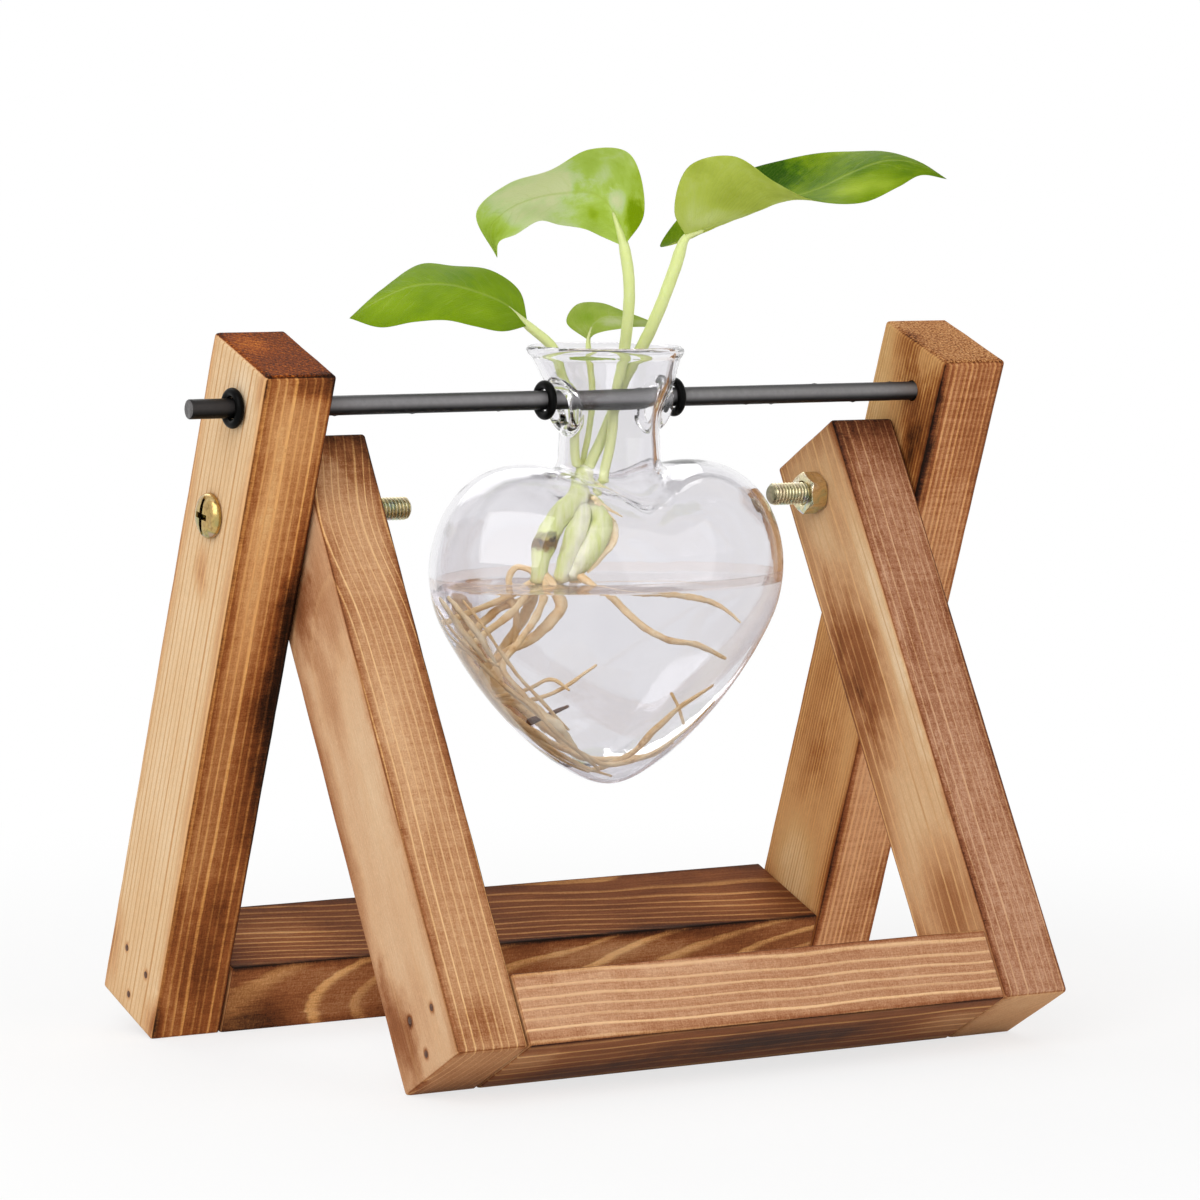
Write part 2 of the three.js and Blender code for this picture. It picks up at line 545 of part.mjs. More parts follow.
const rootRadii = [
  [1, 0.8, 0.8, 0.8, 0.8, 0.7, 0.7, 0.6, 0.4],
  [1.3, 1.3, 1.2, 1.1, 1, 1, 1, 0.8, 0.5],
  [1.2, 1.1, 1, 1, 1, 0.9, 0.8, 0.7, 0.5],
  [1.2, 0.9, 0.8, 0.8, 0.7, 0.7, 0.4],
  [1, 0.7, 0.6, 0.6, 0.6, 0.5, 0.3],
  [0.8, 0.8, 0.8, 0.7, 0.4],
  [0.7, 0.5, 0.5, 0.3],
  [0.8, 0.6, 0.5, 0.3],
  [0.7, 0.5, 0.35],
  [1, 0.8, 0.8, 0.8, 0.7, 0.5],
  [0.4, 0.5, 0.35],
];
const plantWith = (extra) => {
  let all = null;
  for (const [points, radii] of stems) {
    const grown = shoot(points.map(inHeart), radii, 8, 8, extra);
    all = all ? all.add(grown) : grown;
  }
  roots.forEach((points, i) => {
    all = all.add(shoot(points.map(inHeart), rootRadii[i], 5, points.length * 2, extra));
  });
  return all;
};
piece(vase, 'rooted_stem', plantWith(0), materials.root);

// Water up to its level, clear of the glass and of every root
const waterBox = new THREE.BoxGeometry(2 * heartSize, 2 * heartSize, 2 * heartSize);
waterBox.translate(0, 0, waterLevel - heartSize);
const water = heartSolid(glassWall + seatGap, 44, 16)
  .intersect(toSolid(waterBox))
  .subtract(plantWith(seatGap + 0.1));
piece(vase, 'water', water, materials.water);

// The origin is the middle of the planter's footprint box, on the ground
planter.updateMatrixWorld(true);
const extent = new THREE.Box3().setFromObject(planter, true);
const middle = extent.getCenter(new THREE.Vector3());
planter.position.set(-middle.x, -middle.y, -extent.min.z);
planter.updateMatrixWorld(true);

export default planter;
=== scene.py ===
import math
import bmesh
import bpy
import numpy as np
from mathutils import Matrix, Vector, noise


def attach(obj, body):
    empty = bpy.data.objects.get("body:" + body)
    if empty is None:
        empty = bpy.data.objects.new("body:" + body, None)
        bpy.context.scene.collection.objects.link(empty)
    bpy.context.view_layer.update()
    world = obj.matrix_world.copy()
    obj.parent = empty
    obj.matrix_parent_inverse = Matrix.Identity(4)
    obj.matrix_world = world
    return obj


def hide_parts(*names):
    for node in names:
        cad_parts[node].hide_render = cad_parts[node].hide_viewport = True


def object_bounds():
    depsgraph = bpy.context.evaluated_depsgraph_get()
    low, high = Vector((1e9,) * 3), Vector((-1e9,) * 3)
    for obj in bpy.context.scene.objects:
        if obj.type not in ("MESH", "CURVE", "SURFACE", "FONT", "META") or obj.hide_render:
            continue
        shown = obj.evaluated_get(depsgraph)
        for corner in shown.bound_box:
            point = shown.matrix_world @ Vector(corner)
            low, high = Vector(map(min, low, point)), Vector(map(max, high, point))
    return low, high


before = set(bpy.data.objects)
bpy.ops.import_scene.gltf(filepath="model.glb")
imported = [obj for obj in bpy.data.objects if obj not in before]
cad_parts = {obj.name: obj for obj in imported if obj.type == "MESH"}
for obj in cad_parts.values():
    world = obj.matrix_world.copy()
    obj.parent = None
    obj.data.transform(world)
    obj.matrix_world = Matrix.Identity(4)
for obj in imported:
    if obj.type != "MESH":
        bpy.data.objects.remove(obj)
cad_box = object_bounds()

# Sizes in millimetres, as in the solids
MM = 0.001
PIVOT = (4.25, 12.36045575603369, 137.51571)
ROD = (4.25, -1.170045, 165.060862)
VASE = (0.75, -1.170045, 165.060862)
STAND_WIDTH = 222.5
POST_WIDTH = 20.0
POST_DEPTH = 30.0
REAR_POST_LENGTH = 185.0
FRONT_POST_LENGTH = 165.502
REAR_RAIL = (19.6, 31.8)
FRONT_RAIL = (19.0, 30.0)
REAR_LEAN = math.radians(19.8)
FRONT_LEAN = math.radians(30.0)
FRAME_GAP = 0.5
SEAT_GAP = 0.3
REAR_PIVOT = (141.5, 15.0)
FRONT_PIVOT = (150.942, 15.0)
BOLT_RADIUS = 3.0
HEAD_RADIUS = 5.75
HEAD_HEIGHT = 3.0
NUT_FLATS = 10.0
NUT_HEIGHT = 5.0
BOLT_TIP_OUT = 15.3
THREAD_PITCH = 1.0
ROD_UP = 172.0
ROD_IN = 11.6
ROD_RADIUS = 2.5
ROD_LEFT_OUT = 13.5
ROD_RIGHT_OUT = 5.0
RING_TUBE = 1.15
VASE_OFFSET = -3.5
VASE_RING_OFFSET = 19.5
WALL = 1.8
VASE_HALF_DEPTH = 32.5
HEART_CENTRE = -48.0
CROWN = (46.0, 40.0)
CROWN_SHARE = 0.75
HOLE_RADIUS = 4.6
HOLE_DROP = 1.8
LIP_TUBE = 1.35
WATER_LEVEL = -48.0
POST_EDGE = 1.2
RAIL_EDGE = 0.6
NAIL_LENGTH = 35.0
HEAD_TURN = math.radians(9)
# Height in metres at which the feet are sanded flat, just inside the solids
FOOT_CUT = 0.00002
THREAD_CREST = BOLT_RADIUS - 0.04

OUTER = STAND_WIDTH / 2
REAR_INNER = OUTER - POST_WIDTH
FRONT_OUTER = REAR_INNER - FRAME_GAP
FRONT_INNER = FRONT_OUTER - POST_WIDTH


# Colours are written as 8-bit sRGB
def linear(rgb):
    out = []
    for value in rgb:
        c = value / 255
        out.append(c / 12.92 if c <= 0.04045 else ((c + 0.055) / 1.055) ** 2.4)
    return (*out, 1.0)


class Shader:
    """A node tree with its output, and short ways to add nodes to it."""

    def __init__(self, name, owner=None, output="ShaderNodeOutputMaterial"):
        self.owner = owner or bpy.data.materials.new(name)
        self.owner.use_nodes = True
        self.tree = self.owner.node_tree
        self.tree.nodes.clear()
        self.output = self.tree.nodes.new(output)

    def set(self, socket, value):
        if isinstance(value, bpy.types.NodeSocket):
            self.tree.links.new(value, socket)
        else:
            socket.default_value = value

    def node(self, kind, inputs=(), **settings):
        """New node. Its inputs are a dictionary by name or number, or a sequence in order."""
        made = self.tree.nodes.new(kind)
        for key, value in settings.items():
            setattr(made, key, value)
        for key, value in inputs.items() if isinstance(inputs, dict) else enumerate(inputs):
            self.set(made.inputs[key], value)
        return made

    def math(self, operation, *values):
        return self.node("ShaderNodeMath", values, operation=operation).outputs[0]

    def add(self, *values):
        total = values[0]
        for value in values[1:]:
            total = self.math("ADD", total, value)
        return total

    def minus(self, a, b):
        return self.math("SUBTRACT", a, b)

    def times(self, a, b):
        return self.math("MULTIPLY", a, b)

    def absolute(self, a):
        return self.math("ABSOLUTE", a)

    def maximum(self, a, b):
        return self.math("MAXIMUM", a, b)

    def bell(self, a):
        """One at zero, falling off like a bell on both sides."""
        return self.math("POWER", 2.718, self.times(self.times(a, a), -1.0))

    def step(self, value, low, high, start=0.0, end=1.0):
        """Smooth change from start to end while the value goes from low to high."""
        inputs = (value, low, high, start, end)
        return self.node("ShaderNodeMapRange", inputs, interpolation_type="SMOOTHSTEP").outputs[0]

    def ramp(self, value, stops):
        made = self.node("ShaderNodeValToRGB", (value,))
        elements = made.color_ramp.elements
        while len(elements) < len(stops):
            elements.new(0.5)
        for element, (place, rgb) in zip(elements, stops):
            element.position = place
            element.color = linear(rgb)
        return made.outputs["Color"]

    def mix(self, factor, a, b, blend="MIX"):
        made = self.node("ShaderNodeMix", data_type="RGBA", blend_type=blend, clamp_factor=True)
        for key, value in ((0, factor), (6, a), (7, b)):
            self.set(made.inputs[key], value)
        return made.outputs[2]

    def noise(self, vector, scale, detail=2.0, rough=0.5, distortion=0.0):
        return self.node("ShaderNodeTexNoise", {
            "Vector": vector, "Scale": scale, "Detail": detail, "Roughness": rough, "Distortion": distortion,
        }).outputs[0]

    def vector(self, x, y, z):
        return self.node("ShaderNodeCombineXYZ", (x, y, z)).outputs[0]

    def split(self, vector):
        return self.node("ShaderNodeSeparateXYZ", (vector,)).outputs

    def local(self, origin, lean=0.0):
        """Object coordinates in millimetres from a point, turned back by the lean about X."""
        coordinates = self.node("ShaderNodeTexCoord").outputs
        mapped = self.node("ShaderNodeMapping", vector_type="TEXTURE")
        self.set(mapped.inputs["Vector"], coordinates["Object"])
        mapped.inputs["Location"].default_value = [v * MM for v in origin]
        mapped.inputs["Rotation"].default_value = (lean, 0, 0)
        mapped.inputs["Scale"].default_value = (MM, MM, MM)
        inputs = {"Vector": coordinates["Normal"], "Angle": -lean}
        turned = self.node("ShaderNodeVectorRotate", inputs, rotation_type="X_AXIS")
        return mapped.outputs[0], turned.outputs[0]

    def spots(self, here, spots, ragged):
        """Sum of soft uneven patches, each given as (place, size, amount)."""
        total = 0.0
        for middle, size, amount in spots:
            off = self.node("ShaderNodeVectorMath", (here, middle), operation="SUBTRACT").outputs[0]
            scaled = self.node("ShaderNodeVectorMath", (off, size), operation="DIVIDE").outputs[0]
            far = self.node("ShaderNodeVectorMath", (scaled,), operation="LENGTH").outputs["Value"]
            total = self.add(total, self.times(self.step(self.add(far, ragged), 0.1, 1.0, 1.0, 0.0), amount))
        return total

    def bump(self, height, strength=1.0, distance=0.0002):
        made = self.node("ShaderNodeBump", {"Height": height, "Strength": strength, "Distance": distance})
        return made.outputs[0]

    def principled(self, **inputs):
        names = {key.replace("_", " ").title().replace("Ior", "IOR"): v for key, v in inputs.items()}
        return self.node("ShaderNodeBsdfPrincipled", names).outputs[0]

    def blend(self, factor, first, second):
        """Mix of two shaders."""
        return self.node("ShaderNodeMixShader", (factor, first, second)).outputs[0]

    def sees_white(self):
        """One on the rays that see the white surroundings: camera, glossy and transmission."""
        path = self.node("ShaderNodeLightPath").outputs
        bent = self.maximum(path["Is Glossy Ray"], path["Is Transmission Ray"])
        return self.maximum(path["Is Camera Ray"], bent)

    def surface(self, shader):
        self.tree.links.new(shader, self.output.inputs["Surface"])
        return self.owner

    def clear_surface(self, shader, passed):
        """Surface that lets light of the passed colour through to what is behind it."""
        shadow = self.node("ShaderNodeLightPath").outputs["Is Shadow Ray"]
        open_to_light = self.node("ShaderNodeBsdfTransparent", {"Color": passed}).outputs[0]
        return self.surface(self.blend(shadow, shader, open_to_light))


def grainy(name, origin, scale, stops, rough, bump, **looks):
    """Material of one grain: its colours, its roughness (share of the grain, least) and its bump."""
    s = Shader(name)
    place, _ = s.local(origin)
    grain = s.noise(place, scale, 3.0, 0.6)
    return s.surface(s.principled(
        base_color=s.ramp(grain, stops), roughness=s.add(s.times(grain, rough[0]), rough[1]),
        normal=s.bump(grain, *bump), **looks,
    ))


# Burnt pine: from bare cream wood to char, and the colour of its hard rings at the same burn
BARE = [
    (0.00, (238, 212, 176)), (0.16, (224, 188, 144)), (0.32, (206, 159, 115)), (0.46, (181, 129, 87)),
    (0.60, (147, 90, 53)), (0.74, (112, 64, 36)), (0.88, (66, 38, 24)), (1.00, (32, 20, 14)),
]
HARD = [
    (0.00, (202, 152, 104)), (0.16, (196, 146, 96)), (0.30, (226, 180, 130)), (0.46, (234, 188, 132)),
    (0.60, (214, 160, 100)), (0.74, (168, 114, 66)), (0.88, (104, 66, 40)), (1.00, (58, 36, 24)),
]


def wood(name, centre, lean, half, along, seed, faces, pitch, pith, drift=(0.0, 0.0), wave=(0.5, 90.0),
         bulge=None, line=0.8, thin=0.62, edge=0.24, blotch=0.14, spots=(), ends=(0.1, 0.1), ripple=0.05,
         grain_end=0.5, speck=0.2, side_line=1.0, tint=None, side_tint=None, top_tint=(255, 208, 150)):
    """Torched pine. Local axes: a and b across the bar, c along it, in millimetres from its centre."""
    s = Shader(name)
    place, normal = s.local(centre, lean)
    order = {"post": (0, 1, 2), "rail": (1, 2, 0)}[along]
    place_out, normal_out = s.split(place), s.split(normal)
    a, b, c = (place_out[i] for i in order)
    na, nb, nc = (normal_out[i] for i in order)
    ha, hb, hc = (half[i] for i in order)

    def soft_noise(scale_a, scale_b, scale_c, detail=2.0, rough=0.5):
        """Noise from -0.5 to 0.5, drawn out by its own scales."""
        along_bar = s.add(c, seed * 37.0 + 11.0)
        at = s.vector(s.times(a, scale_a), s.times(b, scale_b), s.times(along_bar, scale_c))
        return s.minus(s.noise(at, 1.0, detail, rough), 0.5)

    # Growth rings about a pith line that drifts, waves and bulges along the bar
    wander_a = s.times(soft_noise(0.006, 0.006, 1.0 / wave[1], 1.0), 4.0 * wave[0])
    wander_b = s.times(soft_noise(0.02, 0.006, 1.4 / wave[1], 1.0), 4.0 * wave[0])
    ra = s.add(a, -pith[0], s.times(c, drift[0]), wander_a)
    rb = s.add(b, -pith[1], s.times(c, drift[1]), wander_b)
    if bulge:
        reach, middle, width = bulge
        away = s.math("DIVIDE", s.add(c, -middle), width)
        ra = s.add(ra, s.times(s.bell(away), reach))
    radius = s.math("SQRT", s.add(s.times(ra, ra), s.times(rb, rb)))
    uneven = s.noise(s.vector(s.times(radius, 0.13), seed, s.times(c, 0.002)), 1.0)
    fine = soft_noise(0.7, 0.7, 0.05)
    phase = s.add(s.times(radius, 1.0 / pitch), s.times(uneven, 1.6), s.times(fine, 0.20))
    ring = s.math("FRACT", phase)
    each = s.node("ShaderNodeTexWhiteNoise", {"W": s.math("FLOOR", phase)}, noise_dimensions="1D")
    hard = s.times(s.step(ring, thin - 0.10, thin + 0.12), s.step(ring, 0.90, 1.0, 1.0, 0.0))
    hard = s.times(hard, s.add(s.times(each.outputs["Value"], 0.65), 0.5))

    # Fibres along the bar, pores, saw marks across it and soot in its soft grain
    fibre = soft_noise(2.4, 2.4, 0.05, 3.0, 0.6)
    pores = soft_noise(5.0, 5.0, 0.5, 2.0, 0.55)
    tick = soft_noise(0.7, 0.7, 3.2, 2.0, 0.6)
    chatter = soft_noise(0.05, 0.05, 0.9, 3.0, 0.7)
    grit = soft_noise(2.2, 2.2, 2.2, 2.0, 0.6)
    ragged = soft_noise(0.16, 0.16, 0.10, 4.0, 0.65)
    wide = soft_noise(0.045, 0.045, 0.020, 2.0)
    patch = soft_noise(0.12, 0.12, 0.035, 3.0, 0.55)

    # Burn: by face, near edges, at the ends, in blotches and in spots
    burn = s.add(s.times(wide, blotch * 2.0), s.times(patch, blotch * 1.5))
    for key, value in faces.items():
        axis = {"a": na, "b": nb, "c": nc}[key[1]]
        facing = s.times(axis, -1.0) if key[0] == "-" else axis
        burn = s.add(burn, s.times(s.step(facing, 0.45, 0.85), value))
    da = s.minus(ha, s.absolute(a))
    db = s.minus(hb, s.absolute(b))
    near = s.maximum(da, db)
    reach = s.maximum(s.add(s.times(ragged, 12.0), s.times(patch, 8.0), 3.6), 0.8)
    singe = s.step(near, 0.0, reach, 1.0, 0.0)
    burn = s.add(burn, s.times(singe, edge), s.times(s.step(near, 0.1, 1.3, 1.0, 0.0), 0.15))
    for amount, inside in zip(ends, (s.add(c, hc), s.minus(hc, c))):
        if amount:
            from_end = s.add(inside, s.times(ragged, 14.0))
            burn = s.add(burn, s.times(s.step(from_end, -3.0, 11.0, 1.0, 0.0), amount))
    burn = s.add(burn, s.spots(s.vector(a, b, c), spots, s.times(ragged, 0.8)))
    thick, wide_face = (nb, na) if along == "post" else (na, nb)
    end_face, front, beside = (s.step(s.absolute(n), 0.6, 0.9) for n in (nc, thick, wide_face))
    top_face = s.step(nc, 0.6, 0.9)
    sawn = s.times(tick, s.add(s.times(front, 0.16), 0.05))
    burn = s.add(burn, s.times(fibre, 0.21), s.times(grit, 0.16), sawn)
    burn = s.add(burn, s.times(s.times(chatter, ripple * 3.0), s.add(s.times(front, 0.8), 0.2)))
    speckle = s.add(soft_noise(1.5, 1.5, 0.4, 3.0, 0.75), s.times(grit, 0.5))
    burn = s.add(burn, s.times(speckle, s.add(s.times(top_face, grain_end * 2.2), s.times(front, speck))))
    burn = s.math("MINIMUM", s.maximum(burn, 0.0), 1.0)

    soft = s.ramp(burn, BARE)
    by_face = s.add(s.times(end_face, -0.5 * line), s.times(beside, (side_line - 1.0) * line), line)
    colour = s.mix(s.times(hard, by_face), soft, s.ramp(burn, HARD))
    shade = s.add(s.times(pores, 0.42), 1.0)
    colour = s.mix(1.0, colour, s.vector(shade, shade, shade), "MULTIPLY")
    for where, tone in ((front, tint), (beside, side_tint), (top_face, top_tint)):
        if tone:
            colour = s.mix(where, colour, linear(tone), "MULTIPLY")
    height = s.add(
        s.times(hard, 0.6), s.times(fibre, 0.6), s.times(pores, 0.5), s.times(tick, 0.5),
        s.times(chatter, ripple * 8),
    )
    rough = s.add(s.times(fibre, 0.2), s.times(burn, -0.08), 0.68)
    return s.surface(s.principled(
        base_color=colour, roughness=rough, specular_ior_level=0.05, normal=s.bump(height, 0.6, 0.00014),
    ))


# Mesh building
def new_object(name, points, faces):
    """Mesh object from points in millimetres."""
    mesh = bpy.data.meshes.new(name)
    mesh.from_pydata([tuple(p) for p in np.asarray(points, dtype=float) * MM], [], [tuple(f) for f in faces])
    made = bpy.data.objects.new(name, mesh)
    bpy.context.collection.objects.link(made)
    return made


def smooth(made, sharp=None):
    """Smooth shading, with edges above the sharp angle kept."""
    made.data.shade_smooth()
    if sharp is not None:
        made.data.set_sharp_from_angle(angle=math.radians(sharp))


def make(name, points, faces, body, materials, slot, sharp=None, replaces=None):
    """Piece of the object on its body, in place of the solid of its own name unless others are given."""
    made = new_object(name, points, faces)
    made.data.validate(clean_customdata=False)
    made.data.update()
    for material in materials:
        made.data.materials.append(material)
    smooth(made, sharp)
    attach(made, body)
    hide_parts(*(replaces or [name]))
    return made


def outward(points, faces):
    """Faces turned so that the closed mesh has a positive volume."""
    points = np.asarray(points, dtype=float)
    volume = 0.0
    for f in faces:
        for k in range(1, len(f) - 1):
            volume += np.dot(points[f[0]], np.cross(points[f[k]], points[f[k + 1]]))
    return faces if volume > 0 else [tuple(reversed(f)) for f in faces]


def ring_faces(rings, around, closed=False):
    """Faces between rings of points; a closed row joins its last ring to its first."""
    faces = []
    for r in range(rings if closed else rings - 1):
        for k in range(around):
            n, q = (k + 1) % around, (r + 1) % rings
            faces.append((r * around + k, r * around + n, q * around + n, q * around + k))
    return faces


def closed_rows(rows, start, end):
    """Closed rings of points joined in order and drawn to one point at each end."""
    rings, around = rows.shape[:2]
    points = np.concatenate([rows.reshape(-1, 3), [start, end]])
    faces = ring_faces(rings, around)
    last = rings * around
    for k in range(around):
        n = (k + 1) % around
        faces.append((last, n, k))
        faces.append((last + 1, (rings - 1) * around + k, (rings - 1) * around + n))
    return points, outward(points, faces)


def unit(vectors):
    """The same directions with a length of one."""
    return vectors / np.maximum(np.linalg.norm(vectors, axis=-1, keepdims=True), 1e-9)


def spline(points, places, closed=False):
    """Centripetal Catmull-Rom curve through the points, at places from 0 to 1."""
    p = np.asarray(points, dtype=float)
    count = len(p)
    places = np.atleast_1d(np.asarray(places, dtype=float))
    spans = count if closed else count - 1
    at = places * spans
    index = np.minimum(np.floor(at).astype(int), spans - 1)
    t = (at - index)[:, None]
    if closed:
        q = [p[(index + k) % count] for k in (-1, 0, 1, 2)]
    else:
        padded = np.concatenate([[2 * p[0] - p[1]], p, [2 * p[-1] - p[-2]]])
        q = [padded[index + k] for k in range(4)]
    d = [np.maximum(np.linalg.norm(q[k + 1] - q[k], axis=1), 1e-9)[:, None] ** 0.5 for k in range(3)]
    d[0] = np.where(d[0] < 1e-4, d[1], d[0])
    d[2] = np.where(d[2] < 1e-4, d[1], d[2])
    m1 = ((q[1] - q[0]) / d[0] - (q[2] - q[0]) / (d[0] + d[1]) + (q[2] - q[1]) / d[1]) * d[1]
    m2 = ((q[2] - q[1]) / d[1] - (q[3] - q[1]) / (d[1] + d[2]) + (q[3] - q[2]) / d[2]) * d[1]
    c2 = -3 * q[1] + 3 * q[2] - 2 * m1 - m2
    c3 = 2 * q[1] - 2 * q[2] + m1 + m2
    return q[1] + m1 * t + c2 * t ** 2 + c3 * t ** 3


def evenly(points, count, closed=False):
    """Points at equal distances along the curve."""
    dense = spline(points, np.linspace(0, 1, 600), closed)
    far = np.concatenate([[0], np.cumsum(np.linalg.norm(np.diff(dense, axis=0), axis=1))])
    goal = np.linspace(0, far[-1], count)
    return np.stack([np.interp(goal, far, dense[:, k]) for k in range(3)], axis=1)


def round_angles(count):
    return np.linspace(0, 2 * math.pi, count, endpoint=False)


def ring_at(x, radius, sides):
    """Circle of points about X. The radius may be one number or one for each point."""
    angle = round_angles(sides)
    return np.stack([np.full(sides, x), np.cos(angle) * radius, np.sin(angle) * radius], axis=1)


def shoot(points, radii, sides, step, uneven, seed):
    """Tapering round shoot through the points, with rounded ends."""
    points = np.asarray(points, dtype=float)
    length = np.linalg.norm(np.diff(spline(points, np.linspace(0, 1, 200)), axis=0), axis=1).sum()
    count = max(int(length / step), 8)
    centre = evenly(points, count)
    tangent = unit(np.gradient(centre, axis=0))
    helper = np.array([0.0, 0.0, 1.0]) if abs(tangent[0][2]) < 0.8 else np.array([1.0, 0.0, 0.0])
    side = np.cross(tangent[0], helper)
    sides_out = []
    for t in tangent:
        side = side - t * np.dot(side, t)
        side /= np.linalg.norm(side)
        sides_out.append(side.copy())
    side = np.array(sides_out)
    up = np.cross(tangent, side)
    share = np.linspace(0, len(radii) - 1, count)
    radius = np.interp(share, range(len(radii)), radii)
    rows = []
    for k in range(count):
        ring = []
        for turn in round_angles(sides):
            c, s = math.cos(turn), math.sin(turn)
            r = radius[k] * (1 + uneven * noise.noise((c * 0.9 + seed * 7.3, s * 0.9, k * step * 0.32)))
            ring.append(centre[k] + side[k] * c * r + up[k] * s * r)
        rows.append(ring)
    rows = np.array(rows)

    def cap(at, way):
        """Two ever smaller rings past the end ring, and the point they close to."""
        rings = [
            centre[at] + (rows[at] - centre[at]) * f + way * tangent[at] * radius[at] * (1 - f) * 0.9
            for f in (0.75, 0.45)
        ]
        return rings, centre[at] + way * tangent[at] * radius[at] * 0.75

    (near, small), start = cap(0, -1)
    (far, last), end = cap(-1, 1)
    return closed_rows(np.concatenate([[small, near], rows, [far, last]]), start, end)


def joined(parts):
    """One list of points and faces from several."""
    points, faces, owner = [], [], []
    base = 0
    for k, (p, f) in enumerate(parts):
        points.append(np.asarray(p, dtype=float))
        faces += [tuple(i + base for i in face) for face in f]
        owner += [k] * len(f)
        base += len(p)
    return np.concatenate(points), faces, owner


def turned(profile, sides):
    """Turned solid from [distance along X, radius], drawn to a point at both ends."""
    rows = np.array([ring_at(x, r, sides) for x, r in profile[1:-1]])
    return closed_rows(rows, [profile[0][0], 0, 0], [profile[-1][0], 0, 0])


def mirrored(points, faces, flip):
    """The mesh itself, or its mirror image across X."""
    if not flip:
        return points, faces
    return points * np.array([-1, 1, 1]), [tuple(reversed(f)) for f in faces]


def turn_x(points, angle):
    p = np.asarray(points, dtype=float)
    c, s = math.cos(angle), math.sin(angle)
    return np.stack([p[:, 0], p[:, 1] * c - p[:, 2] * s, p[:, 1] * s + p[:, 2] * c], axis=1)


# Timber bars
def in_frame(points, lean):
    """From a leaning frame's own axes at the pivot to the part's frame."""
    return turn_x(points, lean) + np.array(PIVOT)


def stations(half, radius, spacing):
    """Places across a bar: close together round each edge, wider on the flat."""
    inner = half - radius
    flat = max(int(2 * inner / spacing), 2)
    ends = [inner - 0.12] + [inner + radius * math.sin(math.radians(v)) for v in (0, 20, 40, 60, 78, 90)]
    middle = list(np.linspace(-inner + 0.12, inner - 0.12, flat + 1))[1:-1]
    return [-v for v in reversed(ends)] + middle + ends


def rounded_bar(half, radius, seed):
    """Box with rounded and slightly uneven edges, from its centre."""
    lines = [stations(half[k], radius, 4.0 if k < 2 else 6.0) for k in range(3)]
    lookup = {}
    points, faces = [], []

    def point(p):
        key = tuple(round(v, 4) for v in p)
        if key not in lookup:
            lookup[key] = len(points)
            v = np.array(p)
            wear = radius * (0.86 + 0.14 * noise.noise(Vector(v * 0.11) + Vector((seed * 9.1, 0, 0))))
            inner = np.array(half) - radius
            core = np.clip(v, -inner, inner)
            off = v - core
            past = np.abs(off) > 1e-6
            if np.count_nonzero(past) > 1:
                v = core + off / np.linalg.norm(off) * wear + (radius - wear) * 0.3 * np.sign(off) * past
            points.append(v)
        return lookup[key]

    for axis in range(3):
        u, w = [k for k in range(3) if k != axis]
        for sign in (-1, 1):
            for i in range(len(lines[u]) - 1):
                for j in range(len(lines[w]) - 1):
                    corner = []
                    for du, dw in ((0, 0), (1, 0), (1, 1), (0, 1)):
                        p = [0, 0, 0]
                        p[axis] = sign * half[axis]
                        p[u] = lines[u][i + du]
                        p[w] = lines[w][j + dw]
                        corner.append(point(p))
                    if len(set(corner)) == 4:
                        faces.append(tuple(corner))
    return np.array(points), outward(points, faces)


def cut_holes(made, cutters):
    """Holes cut through the mesh of an object, with the cutters left out of the scene."""
    for points, faces in cutters:
        tool = new_object("cutter", points, faces)
        modifier = made.modifiers.new("cut", "BOOLEAN")
        modifier.operation = "DIFFERENCE"
        modifier.solver = "EXACT"
        modifier.object = tool
        bpy.context.view_layer.update()
        cut = bpy.data.meshes.new_from_object(made.evaluated_get(bpy.context.evaluated_depsgraph_get()))
        made.modifiers.remove(modifier)
        old, made.data = made.data, cut
        spare = tool.data
        bpy.data.objects.remove(tool)
        for mesh in (old, spare):
            bpy.data.meshes.remove(mesh)


def timber(name, low, high, lean, body, material, slot, seed, holes, radius):
    """Bar between two corners in its leaning frame, sanded flat where it meets the ground."""
    points, faces = rounded_bar((high - low) / 2, radius, seed)
    made = make(name, in_frame(points + (high + low) / 2, lean), faces, body, [material], slot)
    cutters = []
    for y, z, r in holes:
        p, f = turned([(low[0] - 2, 0), (low[0] - 2, r), (high[0] + 2, r), (high[0] + 2, 0)], 40)
        cutters.append((in_frame(p + np.array([0, y, z]), lean), f))
    cut_holes(made, cutters)
    work = bmesh.new()
    work.from_mesh(made.data)
    geometry = work.verts[:] + work.edges[:] + work.faces[:]
    cut = bmesh.ops.bisect_plane(
        work, geom=geometry, dist=1e-7, plane_co=(0, 0, FOOT_CUT), plane_no=(0, 0, 1), clear_inner=True,
    )
    edges = [e for e in cut["geom_cut"] if isinstance(e, bmesh.types.BMEdge)]
    if edges:
        bmesh.ops.holes_fill(work, edges=edges, sides=0)
    work.to_mesh(made.data)
    work.free()
    smooth(made, 38)


# Places in a frame are given up from its foot and inward from its outer side
FRAMES = {
    "rear": dict(
        pivot=REAR_PIVOT, lean=REAR_LEAN, length=REAR_POST_LENGTH, rail=REAR_RAIL, outer=OUTER,
        nails={"upper": (16.5, 20.5), "front": (15, 8.5), "lower": (5.5, 15.5)},
    ),
    "front": dict(
        pivot=FRONT_PIVOT, lean=-FRONT_LEAN, length=FRONT_POST_LENGTH, rail=FRONT_RAIL, outer=FRONT_OUTER,
        nails={"upper": (15.5, 18), "front": (14.5, 6.5), "lower": (5.5, 14.5)},
    ),
}


def from_pivot(which, up, inward):
    pivot_up, pivot_in = FRAMES[which]["pivot"]
    return inward - pivot_in, up - pivot_up


